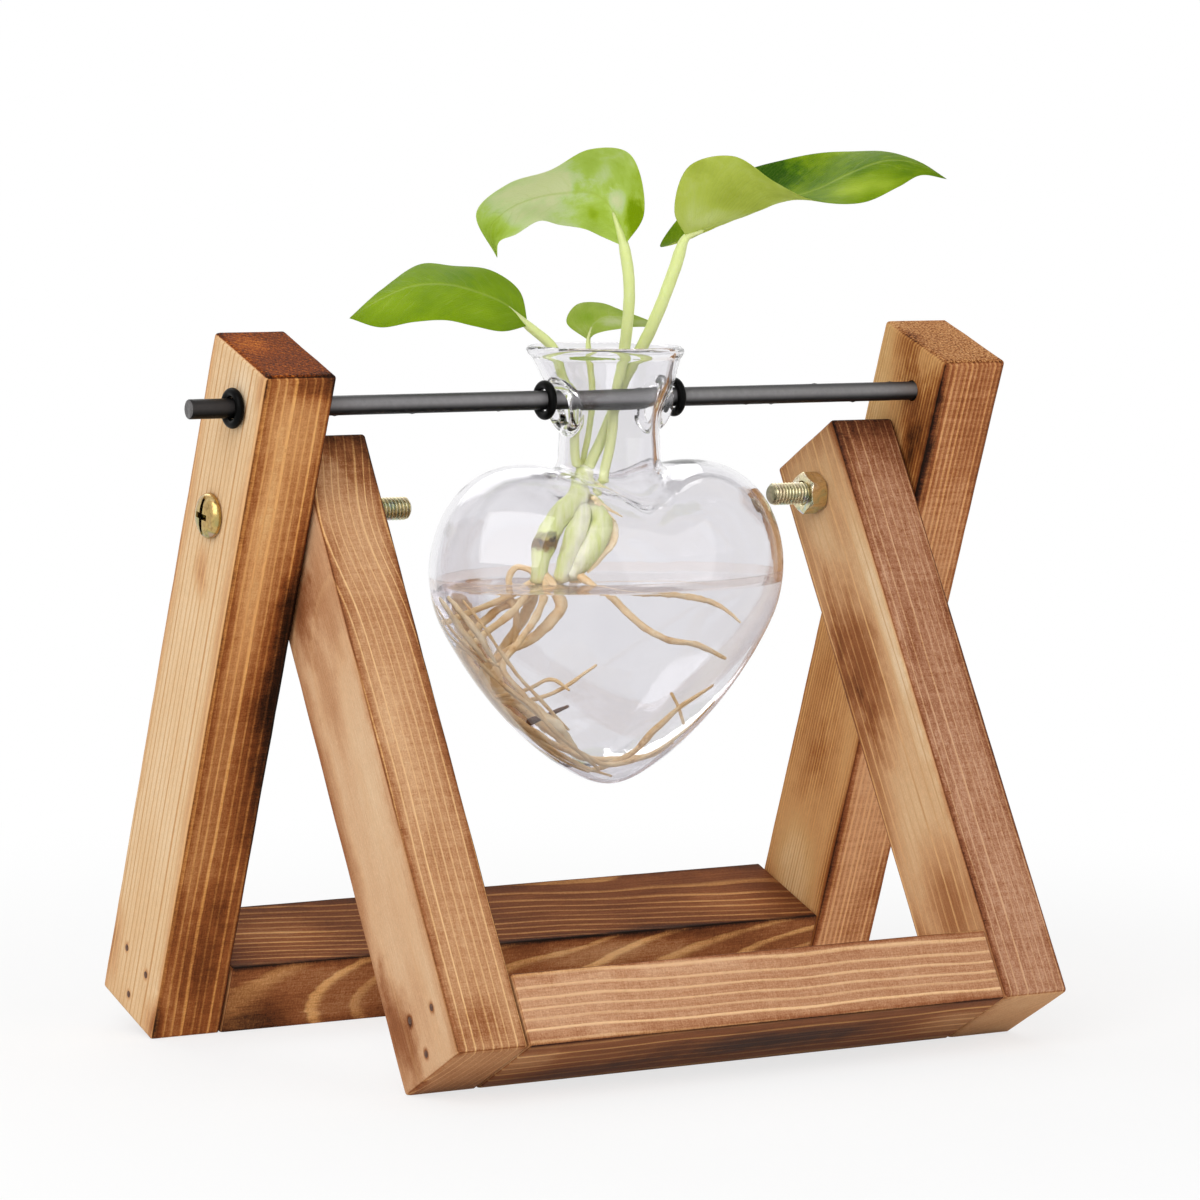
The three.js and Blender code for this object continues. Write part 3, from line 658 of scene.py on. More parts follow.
def bar_box(name):
    """Lowest and highest corner of a bar in its frame's own axes."""
    which, kind = name.split("_")[:2]
    own = FRAMES[which]
    outer, inner = own["outer"], own["outer"] - POST_WIDTH
    low, high = from_pivot(which, 0, 0), from_pivot(which, own["length"], POST_DEPTH)
    if kind == "rail":
        return (-inner + SEAT_GAP, *low), (inner - SEAT_GAP, *from_pivot(which, *own["rail"]))
    return ((-outer, *low), (-inner, *high)) if name.endswith("left") else ((inner, *low), (outer, *high))


def nail_spots(which, side):
    """Scorch round each brad, on the outer face of a post."""
    across, middle_in, middle_up = side * POST_WIDTH / 2, POST_DEPTH / 2, FRAMES[which]["length"] / 2
    return [
        ((across, inward - middle_in, up - middle_up), (2.2, 1.9, 2.4), 0.42)
        for up, inward in FRAMES[which]["nails"].values()
    ]


# Looks of the bars. Spots are (place, size, burn) from the middle of the bar: across, inward and up for a
# post, and inward, up and across for a rail
TIMBERS = {
    "rear_post_left": dict(
        faces={"-a": 0.13, "-b": 0.50, "+a": 0.44, "+b": 0.42, "+c": 0.70, "-c": 0.5}, pitch=1.73,
        pith=(-74, -94), wave=(0.25, 110), line=0.95, thin=0.70, edge=0.14, blotch=0.07,
        tint=(255, 240, 214), ends=(0.04, 0.06), ripple=0.05, grain_end=0.45, top_tint=(255, 205, 122),
        spots=[
            ((6, -15, -10), (10, 6, 66), 0.20), ((9, -15, 20), (6, 6, 76), 0.20),
            ((2, -15, -74), (13, 5, 34), 0.18), ((-4, -15, 48), (4, 4, 60), -0.12),
            ((-10, 1, 35), (4, 5, 8), 0.24), ((-10, -1, 30), (4, 4, 6), 0.16),
            ((-10, 15, 40), (5, 6, 80), 0.22), ((-10, -13, 88), (5, 4, 8), 0.16),
            ((-10, -4, 84), (5, 9, 12), -0.12), ((2, -15, 76), (10, 5, 14), -0.10),
            ((-10, 13, -78), (5, 8, 16), 0.18), ((-10, -14, -88), (5, 7, 9), 0.25),
            ((-4, 6, 92.5), (8, 10, 4), -0.16), ((6, -15, 90), (12, 5, 6), 0.22),
            ((-10, -13, 20), (4, 4, 90), 0.10), ((-2, -15, 52), (5, 4, 46), -0.14),
            ((0, -15, -62), (14, 5, 26), 0.08), ((8, -15, 14), (8, 6, 40), 0.14),
        ],
    ),
    "rear_post_right": dict(
        faces={"-a": 0.24, "-b": 0.46, "+a": 0.26, "+b": 0.42, "+c": 0.38, "-c": 0.5}, pitch=0.98,
        pith=(-64, -100), wave=(0.2, 120), line=0.66, thin=0.5, edge=0.16, blotch=0.10, ends=(0.0, 0.06),
        ripple=0.09, grain_end=0.9, tint=(262, 252, 252), side_tint=(255, 244, 218),
        top_tint=(250, 232, 208),
        spots=[
            ((-10, -6, 76), (6, 14, 22), 0.34), ((-10, -12, 56), (6, 12, 44), 0.36),
            ((-10, 3, 89), (6, 9, 12), 0.28), ((-10, 13, 76), (6, 8, 30), -0.20),
            ((-10, -2, 52), (6, 12, 22), 0.16), ((-10, 8, 46), (6, 12, 16), 0.26),
            ((-10, 7, -20), (6, 16, 46), 0.26), ((-10, -6, -34), (6, 12, 44), 0.14),
            ((-10, 0, -66), (6, 12, 20), -0.24), ((-10, -2, -28), (6, 10, 14), 0.06),
            ((-10, -14, -56), (5, 5, 30), 0.16), ((-10, 12, -80), (5, 7, 14), 0.3),
            ((0, -15, -60), (14, 5, 30), 0.04), ((2, -15, 72), (16, 5, 40), 0.14),
            ((0, -15, -20), (14, 5, 74), -0.13),
        ],
    ),
    "front_post_left": dict(
        faces={"-a": 0.27, "-b": 0.45, "+a": 0.42, "+b": 0.40, "+c": 0.64, "-c": 0.44}, pitch=2.3,
        pith=(-90, -14), wave=(0.5, 80), bulge=(4.6, 58, 20), line=1.0, thin=0.78, edge=0.12, blotch=0.07,
        ends=(0.04, 0.42), ripple=0.05, grain_end=0.2, side_line=0.2, tint=(258, 261, 268),
        side_tint=(255, 261, 274),
        spots=[
            ((-10, 9, -68), (6, 10, 22), 0.36), ((-10, 14, -10), (6, 8, 70), 0.22),
            ((-10, 6, 50), (6, 14, 26), 0.40), ((-10, -8, 42), (5, 9, 26), 0.18),
            ((-10, 2, 20), (5, 9, 22), 0.16), ((-10, -6, -14), (5, 9, 36), -0.08),
            ((-10, -4, -64), (5, 8, 16), 0.08), ((-4, -15, -2), (8, 5, 34), -0.10),
            ((8, -15, 74), (12, 5, 12), 0.16), ((9, -15, 10), (5, 5, 80), 0.12),
            ((-2, -15, -76), (8, 5, 10), 0.12), ((0, -15, 52), (14, 5, 22), -0.07),
        ],
    ),
    "front_post_right": dict(
        faces={"-a": 0.24, "-b": 0.46, "+a": 0.36, "+b": 0.42, "+c": 0.64, "-c": 0.36}, pitch=2.1,
        pith=(-70, -54), wave=(0.35, 70), line=0.80, thin=0.78, edge=0.14, blotch=0.10, ends=(0.0, 0.24),
        ripple=0.06, grain_end=0.2, tint=(242, 240, 264), speck=0.45,
        spots=[
            ((-10, 13, 40), (8, 10, 60), 0.16), ((-10, 3, 20), (8, 15, 38), 0.38),
            ((-10, 12, -8), (8, 12, 40), 0.20), ((-10, -13, 26), (6, 6, 66), -0.22),
            ((-10, -6, 56), (5, 8, 12), 0.08), ((-10, -13, 68), (6, 6, 18), 0.16),
            ((-10, 2, -30), (6, 14, 18), -0.06), ((-10, -4, -52), (8, 15, 26), 0.24),
            ((-10, 13, -62), (6, 9, 24), 0.24), ((0, -15, 76), (14, 5, 16), 0.10),
            ((-6, -15, 30), (6, 5, 50), 0.08), ((10, -15, 0), (5, 5, 90), 0.10),
            ((2, -15, -60), (9, 5, 30), -0.02),
        ],
    ),
    "rear_rail": dict(
        faces={"-a": 0.62, "+a": 0.6, "+b": 0.72, "-b": 0.6, "+c": 0.4, "-c": 0.4}, pitch=2.3,
        pith=(20, -5), drift=(0.10, 0.03), wave=(1.3, 80), line=1.0, thin=0.70, edge=0.10, blotch=0.12,
        ends=(0.08, 0.0), ripple=0.03,
        spots=[
            ((-16, -6, -80), (6, 8, 14), 0.2), ((-16, 4, 30), (6, 6, 40), -0.16),
            ((-16, -4, -50), (6, 6, 26), -0.10), ((-4, 10, 70), (12, 5, 20), -0.10),
            ((0, 10, -70), (14, 5, 24), -0.12), ((-15, 10, 20), (4, 4, 70), 0.1),
        ],
    ),
    "front_rail": dict(
        faces={"-a": 0.45, "+a": 0.5, "+b": 0.46, "-b": 0.64, "+c": 0.4, "-c": 0.4}, pitch=2.6,
        pith=(-34, -52), drift=(0.0, 0.014), wave=(0.75, 60), line=1.0, thin=0.70, edge=0.08, blotch=0.07,
        ends=(0.0, 0.0), ripple=0.03, tint=(260, 264, 284),
        spots=[
            ((0, -10, 8), (13, 5, 58), 0.24), ((0, -10, 66), (14, 5, 24), -0.20),
            ((0, -10, -66), (14, 5, 18), -0.12), ((-6, -10, -66), (9, 5, 20), -0.08),
            ((8, -10, -40), (8, 5, 40), 0.16), ((-15, 8, -30), (5, 4, 60), -0.08),
            ((-15, 0, -58), (5, 12, 26), -0.06),
        ],
    ),
}
rod_hole = (*from_pivot("rear", ROD_UP, ROD_IN), ROD_RADIUS + SEAT_GAP)
bolt_hole = (0, 0, BOLT_RADIUS + SEAT_GAP)
for seed, (name, look) in enumerate(TIMBERS.items(), 1):
    which, kind = name.split("_")[:2]
    lean = FRAMES[which]["lean"]
    low, high = np.array(bar_box(name))
    slot, edge, holes = "pine_rail", RAIL_EDGE, []
    if kind == "post":
        look["spots"] += nail_spots(which, -1 if name.endswith("left") else 1)
        slot, edge, holes = "pine", POST_EDGE, [bolt_hole] + ([rod_hole] if which == "rear" else [])
    centre = in_frame([(low + high) / 2], lean)[0]
    material = wood(f"wood_{name}", centre, lean, (high - low) / 2, kind, seed, **look)
    timber(name, low, high, lean, f"{which}_frame", material, slot, seed, holes, edge)

# Brads: small dark heads, set just below the wood at the outer faces
nail_look = grainy(
    "nail_steel", (0, 0, 0), 1.6, [(0.3, (58, 36, 24)), (0.55, (92, 58, 38)), (0.75, (120, 82, 56))],
    (0.3, 0.4), (0.4,), metallic=0.25,
)
nail = turned([
    (-0.18, 0), (-0.16, 0.35), (-0.08, 0.75), (0.05, 1.0), (0.3, 1.08), (1.2, 1.08), (1.25, 0.7),
    (NAIL_LENGTH - 0.6, 0.7), (NAIL_LENGTH, 0.0),
], 20)
for which, own in FRAMES.items():
    for side, word in ((-1, "left"), (1, "right")):
        points, faces = mirrored(*nail, side > 0)
        for key, place in own["nails"].items():
            at = points + np.array([side * own["outer"], *from_pivot(which, *place)])
            node = f"{which}_nail_{word}_{key}"
            make(node, in_frame(at, own["lean"]), faces, f"{which}_frame", [nail_look], "nail_steel", 50)


# Yellow zinc hardware
def zinc_material():
    """Yellow passivated zinc with an iridescent film, and painted shade in the threads and the driver recess.
    """
    s = Shader("yellow_zinc")
    place, _ = s.local(PIVOT)
    x, y, z = s.split(place)
    radius = s.math("SQRT", s.add(s.times(y, y), s.times(z, z)))
    out = s.absolute(x)
    film = s.noise(place, 0.26, 2.0, 0.5, 0.6)
    film = s.add(film, s.times(s.step(z, -4.5, 4.0, -0.5, 0.5), 0.22))
    colour = s.ramp(film, [
        (0.26, (200, 192, 204)), (0.36, (184, 198, 172)), (0.44, (208, 202, 164)), (0.54, (224, 212, 174)),
        (0.62, (206, 190, 158)), (0.72, (228, 220, 196)), (0.84, (196, 188, 170)),
    ])
    grime = s.noise(place, 1.1, 4.0, 0.65)
    colour = s.mix(s.step(grime, 0.50, 0.75, 0.0, 0.6), colour, linear((104, 84, 52)))
    # Painted shade: darker in the thread roots and inside the driver recess; the thread roots are also
    # rougher
    threaded = s.step(out, FRONT_INNER + 2, FRONT_INNER, 0.0, 0.62)
    groove = s.times(s.step(radius, 2.45, 2.85, 1.0, 0.0), threaded)
    face = OUTER + SEAT_GAP
    colour = s.mix(s.step(out, OUTER - 1.0, OUTER), colour, linear((226, 204, 160)), "MULTIPLY")
    painted_recess_shade = s.times(s.step(radius, 4.4, 4.0), s.step(out, face + 1.0, face + 1.4))
    painted_recess_shade = s.times(painted_recess_shade, s.step(out, face + 2.45, face + 2.2, 0.0, 0.9))
    colour = s.mix(s.maximum(groove, painted_recess_shade), colour, linear((44, 34, 20)))
    brushed = s.noise(place, 6.0)
    rough = s.add(s.times(grime, 0.26), s.times(groove, 0.2), 0.10)
    return s.surface(s.principled(
        base_color=colour, metallic=1.0, roughness=rough, normal=s.bump(brushed, 0.25, 0.00004),
    ))


def thread_rows(tip, start, sides=56, per_turn=14):
    """Screw thread along X from its chamfered tip."""
    steps = int((start - tip) / THREAD_PITCH * per_turn)
    rows = []
    for k in range(steps + 1):
        x = tip + (start - tip) * k / steps
        turn = (x / THREAD_PITCH + round_angles(sides) / (2 * math.pi)) % 1.0
        flank = np.abs(turn - 0.5) * 2
        depth = 0.52 * np.clip((flank - 0.12) / 0.74, 0, 1)
        r = np.minimum(THREAD_CREST - depth, BOLT_RADIUS - 0.85 + (x - tip) * 1.1)
        fade = np.clip((start - x) / 1.2, 0, 1)
        rows.append(ring_at(x, r * fade + THREAD_CREST * (1 - fade), sides))
    return rows


def bolt_mesh():
    tip = FRONT_INNER - BOLT_TIP_OUT
    face = OUTER + SEAT_GAP
    rows = thread_rows(tip, FRONT_INNER - SEAT_GAP - 0.4)
    dome = [(face, THREAD_CREST), (face, HEAD_RADIUS - 0.15), (face + 0.15, HEAD_RADIUS)]
    for t in np.linspace(0, math.pi / 2, 13):
        rise, wide = math.sin(t), abs(math.cos(t)) ** 0.72
        dome.append((face + 0.5 + (HEAD_HEIGHT - 0.55) * rise, HEAD_RADIUS * wide + 0.02))
    rows += [ring_at(x, r, len(rows[0])) for x, r in dome]
    return closed_rows(np.array(rows), [tip, 0, 0], [face + HEAD_HEIGHT - 0.04, 0, 0])


def recess():
    """Cross-shaped driver recess with one long slot across the head."""
    face = OUTER + SEAT_GAP + HEAD_HEIGHT
    cutters = []
    for width, length, depth in ((1.15, 14.0, 1.15), (1.5, 5.6, 2.1), (5.6, 1.5, 2.1)):
        x0, x1 = face - depth, face + 1.5
        y, z = width / 2, length / 2
        p = []
        for x, f in ((x0, 0.82 if width > 1.2 else 1.0), (x1, 1.12)):
            p += [(x, -y * f, -z * f), (x, y * f, -z * f), (x, y * f, z * f), (x, -y * f, z * f)]
        q = [(3, 2, 1, 0), (4, 5, 6, 7), (0, 1, 5, 4), (1, 2, 6, 5), (2, 3, 7, 6), (3, 0, 4, 7)]
        cutters.append((np.array(p, dtype=float), outward(p, q)))
    return cutters


def nut_mesh():
    """Hexagon nut with chamfered corners, its thread filled by the bolt."""
    sides = 144
    sector = (round_angles(sides) + math.pi / 6) % (math.pi / 3) - math.pi / 6
    flat = np.minimum(NUT_FLATS / 2 / np.cos(sector), NUT_FLATS / math.sqrt(3) - 0.12)
    x0, x1 = FRONT_INNER - SEAT_GAP - NUT_HEIGHT, FRONT_INNER - SEAT_GAP
    bore, shoulder = BOLT_RADIUS - 0.1, NUT_FLATS / 2 - 0.35
    rows = [ring_at(x, r, sides) for x, r in ((x0 + 0.5, bore), (x0, bore + 0.45), (x0, shoulder))]
    lower, upper = np.linspace(0, 0.9, 10), np.linspace(NUT_HEIGHT - 0.9, NUT_HEIGHT, 10)
    for k in np.concatenate([lower, np.linspace(1.3, NUT_HEIGHT - 1.3, 4), upper]):
        chamfer = NUT_FLATS / 2 - 0.1 + min(k, NUT_HEIGHT - k) * 1.6
        rows.append(ring_at(x0 + k, np.minimum(flat, chamfer), sides))
    rows += [ring_at(x, r, sides) for x, r in ((x1, shoulder), (x1, bore))]
    points = np.array(rows).reshape(-1, 3)
    return points, outward(points, ring_faces(len(rows), sides, closed=True))


def on_side(shape, side, angle):
    """Hardware at the pivot, mirrored for the left side and turned about the pivot's axis."""
    points, faces = mirrored(*shape, side < 0)
    return in_frame(points, angle), faces


zinc = zinc_material()
bolt_shape, nut_shape = bolt_mesh(), nut_mesh()
for side, word in ((1, "right"), (-1, "left")):
    shape = on_side(bolt_shape, side, HEAD_TURN)
    bolt = make(f"pivot_bolt_{word}", *shape, "rear_frame", [zinc], "yellow_zinc")
    cut_holes(bolt, [on_side(cutter, side, HEAD_TURN) for cutter in recess()])
    smooth(bolt, 48)
    shape = on_side(nut_shape, side, FRONT_LEAN + math.pi / 6)
    make(f"pivot_nut_{word}", *shape, "rear_frame", [zinc], "yellow_zinc", 24)


# Rod: black paint with a few small burrs, bare steel at its cut ends, and a painted sheen band along its
# sides
def rod_material():
    s = Shader("black_rod")
    place, normal = s.local(ROD)
    x, y, z = s.split(place)
    nx, _, nz = s.split(normal)
    grain = s.noise(place, 0.7, 4.0, 0.6)
    streak = s.noise(s.vector(s.times(x, 0.05), y, z), 1.3, 3.0)
    # Painted sheen and shade: a pale band where the surface faces sideways and a little up, dark towards the
    # top and bottom edges
    across = s.absolute(s.add(nz, -0.25))
    painted_sheen_band = s.mix(s.step(across, 0.1, 0.85), linear((140, 138, 139)), linear((14, 14, 15)))
    black = s.mix(s.times(grain, 0.35), painted_sheen_band, linear((44, 43, 44)))
    outside = s.step(s.absolute(x), OUTER - 0.5, OUTER + 0.5)
    black = s.mix(outside, black, linear((112, 108, 106)), "MULTIPLY")
    end = s.step(s.absolute(nx), 0.75, 0.95)
    colour = s.mix(end, black, s.ramp(grain, [(0.3, (72, 70, 70)), (0.7, (128, 126, 126))]))
    rough = s.add(s.times(streak, 0.16), 0.30)
    return s.surface(s.principled(
        base_color=colour, roughness=rough, metallic=s.times(end, 0.6), specular_ior_level=0.12,
        normal=s.bump(s.add(grain, streak), 0.35, 0.00008),
    ))


def rod_mesh():
    left, right = -OUTER - ROD_LEFT_OUT, OUTER + ROD_RIGHT_OUT
    along = np.linspace(left + 1, right - 1, 520)
    xs = [left, left + 0.1, left + 0.3, *along, right - 0.3, right - 0.1, right]
    ends = [ROD_RADIUS - 0.3, ROD_RADIUS - 0.12, ROD_RADIUS - 0.02]
    rs = ends + [ROD_RADIUS - 0.02] * len(along) + ends[::-1]
    # Burrs: place along the rod, angle round it, height
    burrs = [(-36.5, 4.9, 0.22), (-62, 4.6, 0.16), (38, 4.4, 0.16), (46.5, 4.9, 0.3), (60, 1.5, 0.2),
             (72, 4.6, 0.24), (-84, 4.7, 0.2), (5.5, 1.4, 0.2), (84, 1.6, 0.18)]
    rows = []
    for x, r in zip(xs, rs):
        ring = []
        for turn in round_angles(48):
            rise = 0.0
            for bx, bt, bh in burrs:
                d = ((x - bx) / 0.55) ** 2 + ((turn - bt) / 0.16) ** 2
                rise += bh * math.exp(-d) if d < 6 else 0.0
            uneven = 0.02 * noise.noise((x * 0.35, math.cos(turn), math.sin(turn)))
            reach = min(r + rise + uneven, ROD_RADIUS + 0.3)
            ring.append((x, math.cos(turn) * reach, math.sin(turn) * reach))
        rows.append(ring)
    return closed_rows(np.array(rows), [left, 0, 0], [right, 0, 0])


points, faces = rod_mesh()
make("hanging_rod", points + np.array(ROD), faces, "rod", [rod_material()], "black_rod", 50)


def torus(major, minor, n=72, m=28):
    """Ring about X."""
    uu, vv = np.meshgrid(round_angles(n), round_angles(m), indexing="ij")
    r = major + minor * np.cos(vv)
    p = np.stack([minor * np.sin(vv), r * np.cos(uu), r * np.sin(uu)], axis=2).reshape(-1, 3)
    return p, outward(p, ring_faces(n, m, closed=True))


rubber = grainy(
    "black_rubber", ROD, 2.2, [(0.3, (3, 3, 3)), (0.7, (10, 10, 10))], (0.2, 0.22), (0.25, 0.00005),
    specular_ior_level=0.05,
)
points, faces = torus(ROD_RADIUS + SEAT_GAP + RING_TUBE, RING_TUBE)
for word, x in (
    ("left_end", -OUTER - SEAT_GAP - RING_TUBE), ("vase_left", VASE_OFFSET - VASE_RING_OFFSET),
    ("vase_right", VASE_OFFSET + VASE_RING_OFFSET), ("right_end", OUTER + SEAT_GAP + RING_TUBE),
):
    placed = points + np.array(ROD) + np.array([x, 0, 0])
    make(f"stop_ring_{word}", placed, faces, "rod", [rubber], "black_rubber")


# Glass vase as a distance field, in the vase's own millimetres: x right, y back, z up from the rod axis
HALF_HEART = [
    (0, -25), (11, -19.8), (24, -16.4), (36, -18.8), (45.5, -27), (50.2, -40), (48.8, -53),
    (40.8, -67), (27, -83.5), (12, -95.3), (0, -99.8),
]
heart_points = HALF_HEART + [(-x, z) for x, z in reversed(HALF_HEART[1:-1])]
heart_points = [(x, 0, z - HEART_CENTRE) for x, z in heart_points]
outline = spline(heart_points, np.linspace(0, 1, 1441)[:-1], closed=True)
outline_angle = np.arctan2(outline[:, 2], outline[:, 0])
outline_order = np.argsort(outline_angle)
outline_angle = outline_angle[outline_order]
outline_radius = np.hypot(outline[:, 0], outline[:, 2])[outline_order]
FUNNEL = [
    (-36, 13.6), (-22, 13.6), (-13, 13.2), (-8.3, 13.0), (-3.3, 13.4), (0.2, 14.8), (4.2, 16.7), (8.2, 18.2),
    (11.2, 19.4), (15, 20.9),
]
funnel_z = np.linspace(-36, 15, 256)
funnel_r = spline([(z, 0, r) for z, r in FUNNEL], np.linspace(0, 1, 1200))
funnel_r = np.interp(funnel_z, funnel_r[:, 0], funnel_r[:, 2])
RIM_UP = 12.45
RIM_TUBE = 1.22
RIM_SHIFT = 1.6
WATER_OVERLAP = 0.15
EDGE_CLIMB = 2.9
EDGE_REACH = 1.5


def heart_field(x, y, z, shrink):
    z = z - HEART_CENTRE
    flat = np.hypot(x, z)
    angle = np.arctan2(z, x)
    edge = np.interp(angle, outline_angle, outline_radius, period=2 * math.pi)
    oval = 1 / np.hypot(np.cos(angle) / CROWN[0], np.sin(angle) / CROWN[1])
    depth = VASE_HALF_DEPTH - shrink
    k = np.sqrt((flat / (edge - shrink)) ** 2 + (y / depth) ** 2)
    for _ in range(3):
        s2 = np.clip((y / depth / np.maximum(k, 1e-6)) ** 2, 0, 1) * CROWN_SHARE
        reach = edge * (1 - s2) + oval * s2 - shrink
        k = np.sqrt((flat / reach) ** 2 + (y / depth) ** 2)
    # Scale to a distance with the slope of the two half axes
    slope = np.sqrt((flat / reach ** 2) ** 2 + (y / depth ** 2) ** 2) / np.maximum(k, 1e-6)
    return (k - 1) / np.maximum(slope, 1e-4)


def neck_field(x, y, z, shrink):
    r = np.interp(z, funnel_z, funnel_r)
    slope = np.interp(z, funnel_z, np.gradient(funnel_r, funnel_z))
    side = (np.hypot(x, y) - r) / np.sqrt(1 + slope ** 2) + shrink
    return np.maximum(side, -30 - z)


def soft_min(a, b, k):
    h = np.maximum(k - np.abs(a - b), 0) / k
    return np.minimum(a, b) - h * h * k * 0.25


def soft_max(a, b, k):
    return -soft_min(-a, -b, k)


def body_field(x, y, z, shrink):
    blend = 5.5 + shrink
    return soft_min(heart_field(x, y, z, shrink), neck_field(x, y, z, shrink), blend)


def foot_thickness(z):
    """Extra glass at the bottom of the heart."""
    return 1.4 * np.clip((-84 - z) / 16, 0, 1) ** 2


def glass_field(p):
    """Shell with a rolled rim that sits a little to the left, and a rolled lip round each rod hole."""
    x, y, z = p[..., 0], p[..., 1], p[..., 2]
    x = x + RIM_SHIFT * np.clip((z - 1.0) / 12.0, 0, 1.3) ** 1.5
    outside = body_field(x, y, z, 0.0)
    inside = body_field(x, y, z, WALL)
    shell = soft_max(outside, -(inside + foot_thickness(z)), 0.5)
    shell = soft_max(shell, z - RIM_UP, 0.8)
    rim_r = np.interp(RIM_UP, funnel_z, funnel_r) - 0.95
    rim = np.hypot(np.hypot(x, y) - rim_r, z - RIM_UP) - RIM_TUBE
    shell = soft_min(shell, rim, 1.2)
    for side in (-1, 1):
        turn = side * 0.2
        cx = p[..., 0] - side * 14.1
        cz = z + HOLE_DROP
        lx = cx * math.cos(turn) - cz * math.sin(turn)
        lz = cx * math.sin(turn) + cz * math.cos(turn)
        lip = np.hypot(np.hypot(y, lz) - (HOLE_RADIUS + LIP_TUBE - 0.2), lx) - LIP_TUBE
        shell = soft_min(shell, lip, 1.4)
    bore = HOLE_RADIUS - np.hypot(y, z + HOLE_DROP)
    return soft_max(shell, bore, 0.5)


def water_mesh(around=320, levels=90):
    """Rings against the glass up to the waterline, then inward over the curved edge of the surface."""
    def room(x, y, z):
        return body_field(x, y, z, WALL) + foot_thickness(z) - WATER_OVERLAP

    def zero(value, low, high):
        low, high = np.asarray(low, dtype=float), np.asarray(high, dtype=float)
        for _ in range(40):
            middle = (low + high) / 2
            inside = value(middle) < 0
            low, high = np.where(inside, middle, low), np.where(inside, high, middle)
        return (low + high) / 2

    bottom = float(zero(lambda z: room(0.0, 0.0, z), -70.0, -100.0))
    share = 1 - np.cos(np.linspace(0, math.pi / 2, levels + 1)[1:])
    heights = bottom + (WATER_LEVEL + EDGE_CLIMB - bottom) * share
    angle = round_angles(around)
    turn, height = np.meshgrid(angle, heights)
    near, far = np.zeros_like(turn), np.full_like(turn, 60.0)
    reach = zero(lambda r: room(np.cos(turn) * r, np.sin(turn) * r, height), near, far)
    rows = list(np.stack([np.cos(turn) * reach, np.sin(turn) * reach, height], axis=2))
    edge = reach[-1]
    for inward in (0.15, 0.35, 0.6, 0.9, 1.25, 1.7, 2.3, 3.0, 4.0, 5.5, 8.0, 12.0, 18.0, 24.0):
        z = WATER_LEVEL + EDGE_CLIMB * math.exp(-max(inward - WATER_OVERLAP, 0) / EDGE_REACH)
        r = np.maximum(edge - inward, 0.3)
        rows.append(np.stack([np.cos(angle) * r, np.sin(angle) * r, np.full(around, z)], axis=1))
    return closed_rows(np.array(rows), [0, 0, bottom], [0, 0, WATER_LEVEL])


def surface_mesh(field, low, high, step):
    """Surface nets over a grid, then pulled onto the field's zero and evened out."""
    axes = [np.arange(l, h + step, step) for l, h in zip(low, high)]
    shape = [len(a) for a in axes]
    value = np.empty(shape)
    for i in range(0, shape[0], 16):
        grid = np.stack(np.meshgrid(axes[0][i:i + 16], axes[1], axes[2], indexing="ij"), axis=-1)
        value[i:i + 16] = field(grid)
    inside = value < 0
    corner = [(dx, dy, dz) for dx in (0, 1) for dy in (0, 1) for dz in (0, 1)]
    n = [s - 1 for s in shape]

    def at(array, d):
        return array[d[0]:d[0] + n[0], d[1]:d[1] + n[1], d[2]:d[2] + n[2]]

    count = sum(at(inside, d).astype(int) for d in corner)
    active = (count > 0) & (count < 8)
    index = -np.ones(n, dtype=int)
    index[active] = np.arange(active.sum())
    cells = np.argwhere(active)
    total = np.zeros((len(cells), 3))
    hits = np.zeros(len(cells))
    for axis in range(3):
        for d in corner:
            if d[axis] == 1:
                continue
            e = list(d)
            e[axis] = 1
            v0 = value[tuple((cells + d).T)]
            v1 = value[tuple((cells + e).T)]
            cross = (v0 < 0) != (v1 < 0)
            t = np.where(cross, v0 / np.where(cross, v0 - v1, 1), 0)
            p = np.array(d, dtype=float)[None, :] + 0 * total
            p[:, axis] = t
            total += np.where(cross[:, None], p, 0)
            hits += cross
    points = (cells + total / hits[:, None]) * step + np.array([a[0] for a in axes])
    faces = []
    for axis in range(3):
        u, w = (axis + 1) % 3, (axis + 2) % 3
        first = [slice(1, n[k]) for k in range(3)]
        first[axis] = slice(0, n[axis])
        second = list(first)
        second[axis] = slice(1, n[axis] + 1)
        a, b = inside[tuple(first)], inside[tuple(second)]
        for flip, mask in ((False, a & ~b), (True, ~a & b)):
            where = np.argwhere(mask)
            base = where.copy()
            for k in range(3):
                if k != axis:
                    base[:, k] += 1
            quad = []
            for du, dw in ((-1, -1), (0, -1), (0, 0), (-1, 0)):
                q = base.copy()
                q[:, u] += du
                q[:, w] += dw
                quad.append(index[tuple(q.T)])
            quad = np.stack(quad, axis=1)
            faces.append(quad[:, ::-1] if flip else quad)
    faces = np.concatenate(faces)
    edges = np.concatenate([faces[:, [k, (k + 1) % 4]] for k in range(4)])

    def slope(p, d=0.04):
        g = np.empty_like(p)
        for k in range(3):
            off = np.zeros(3)
            off[k] = d
            g[:, k] = (field(p + off) - field(p - off)) / (2 * d)
        return g

    def settle(p, rounds):
        for _ in range(rounds):
            g = slope(p)
            size = np.maximum((g * g).sum(axis=1), 1e-3)
            move = g * (field(p) / size)[:, None]
            far = np.linalg.norm(move, axis=1)[:, None]
            p = p - move * np.minimum(1, 0.5 / np.maximum(far, 1e-9))
        return p

    points = settle(points, 2)
    for _ in range(4):
        total = np.zeros_like(points)
        degree = np.zeros(len(points))
        for one, other in ((0, 1), (1, 0)):
            np.add.at(total, edges[:, one], points[edges[:, other]])
            np.add.at(degree, edges[:, one], 1)
        mean = total / degree[:, None]
        g = unit(slope(points))
        shift = mean - points
        shift -= g * (shift * g).sum(axis=1)[:, None]
        points = settle(points + 0.6 * shift, 1)
    points = settle(points, 2)
    return points, faces, unit(slope(points))


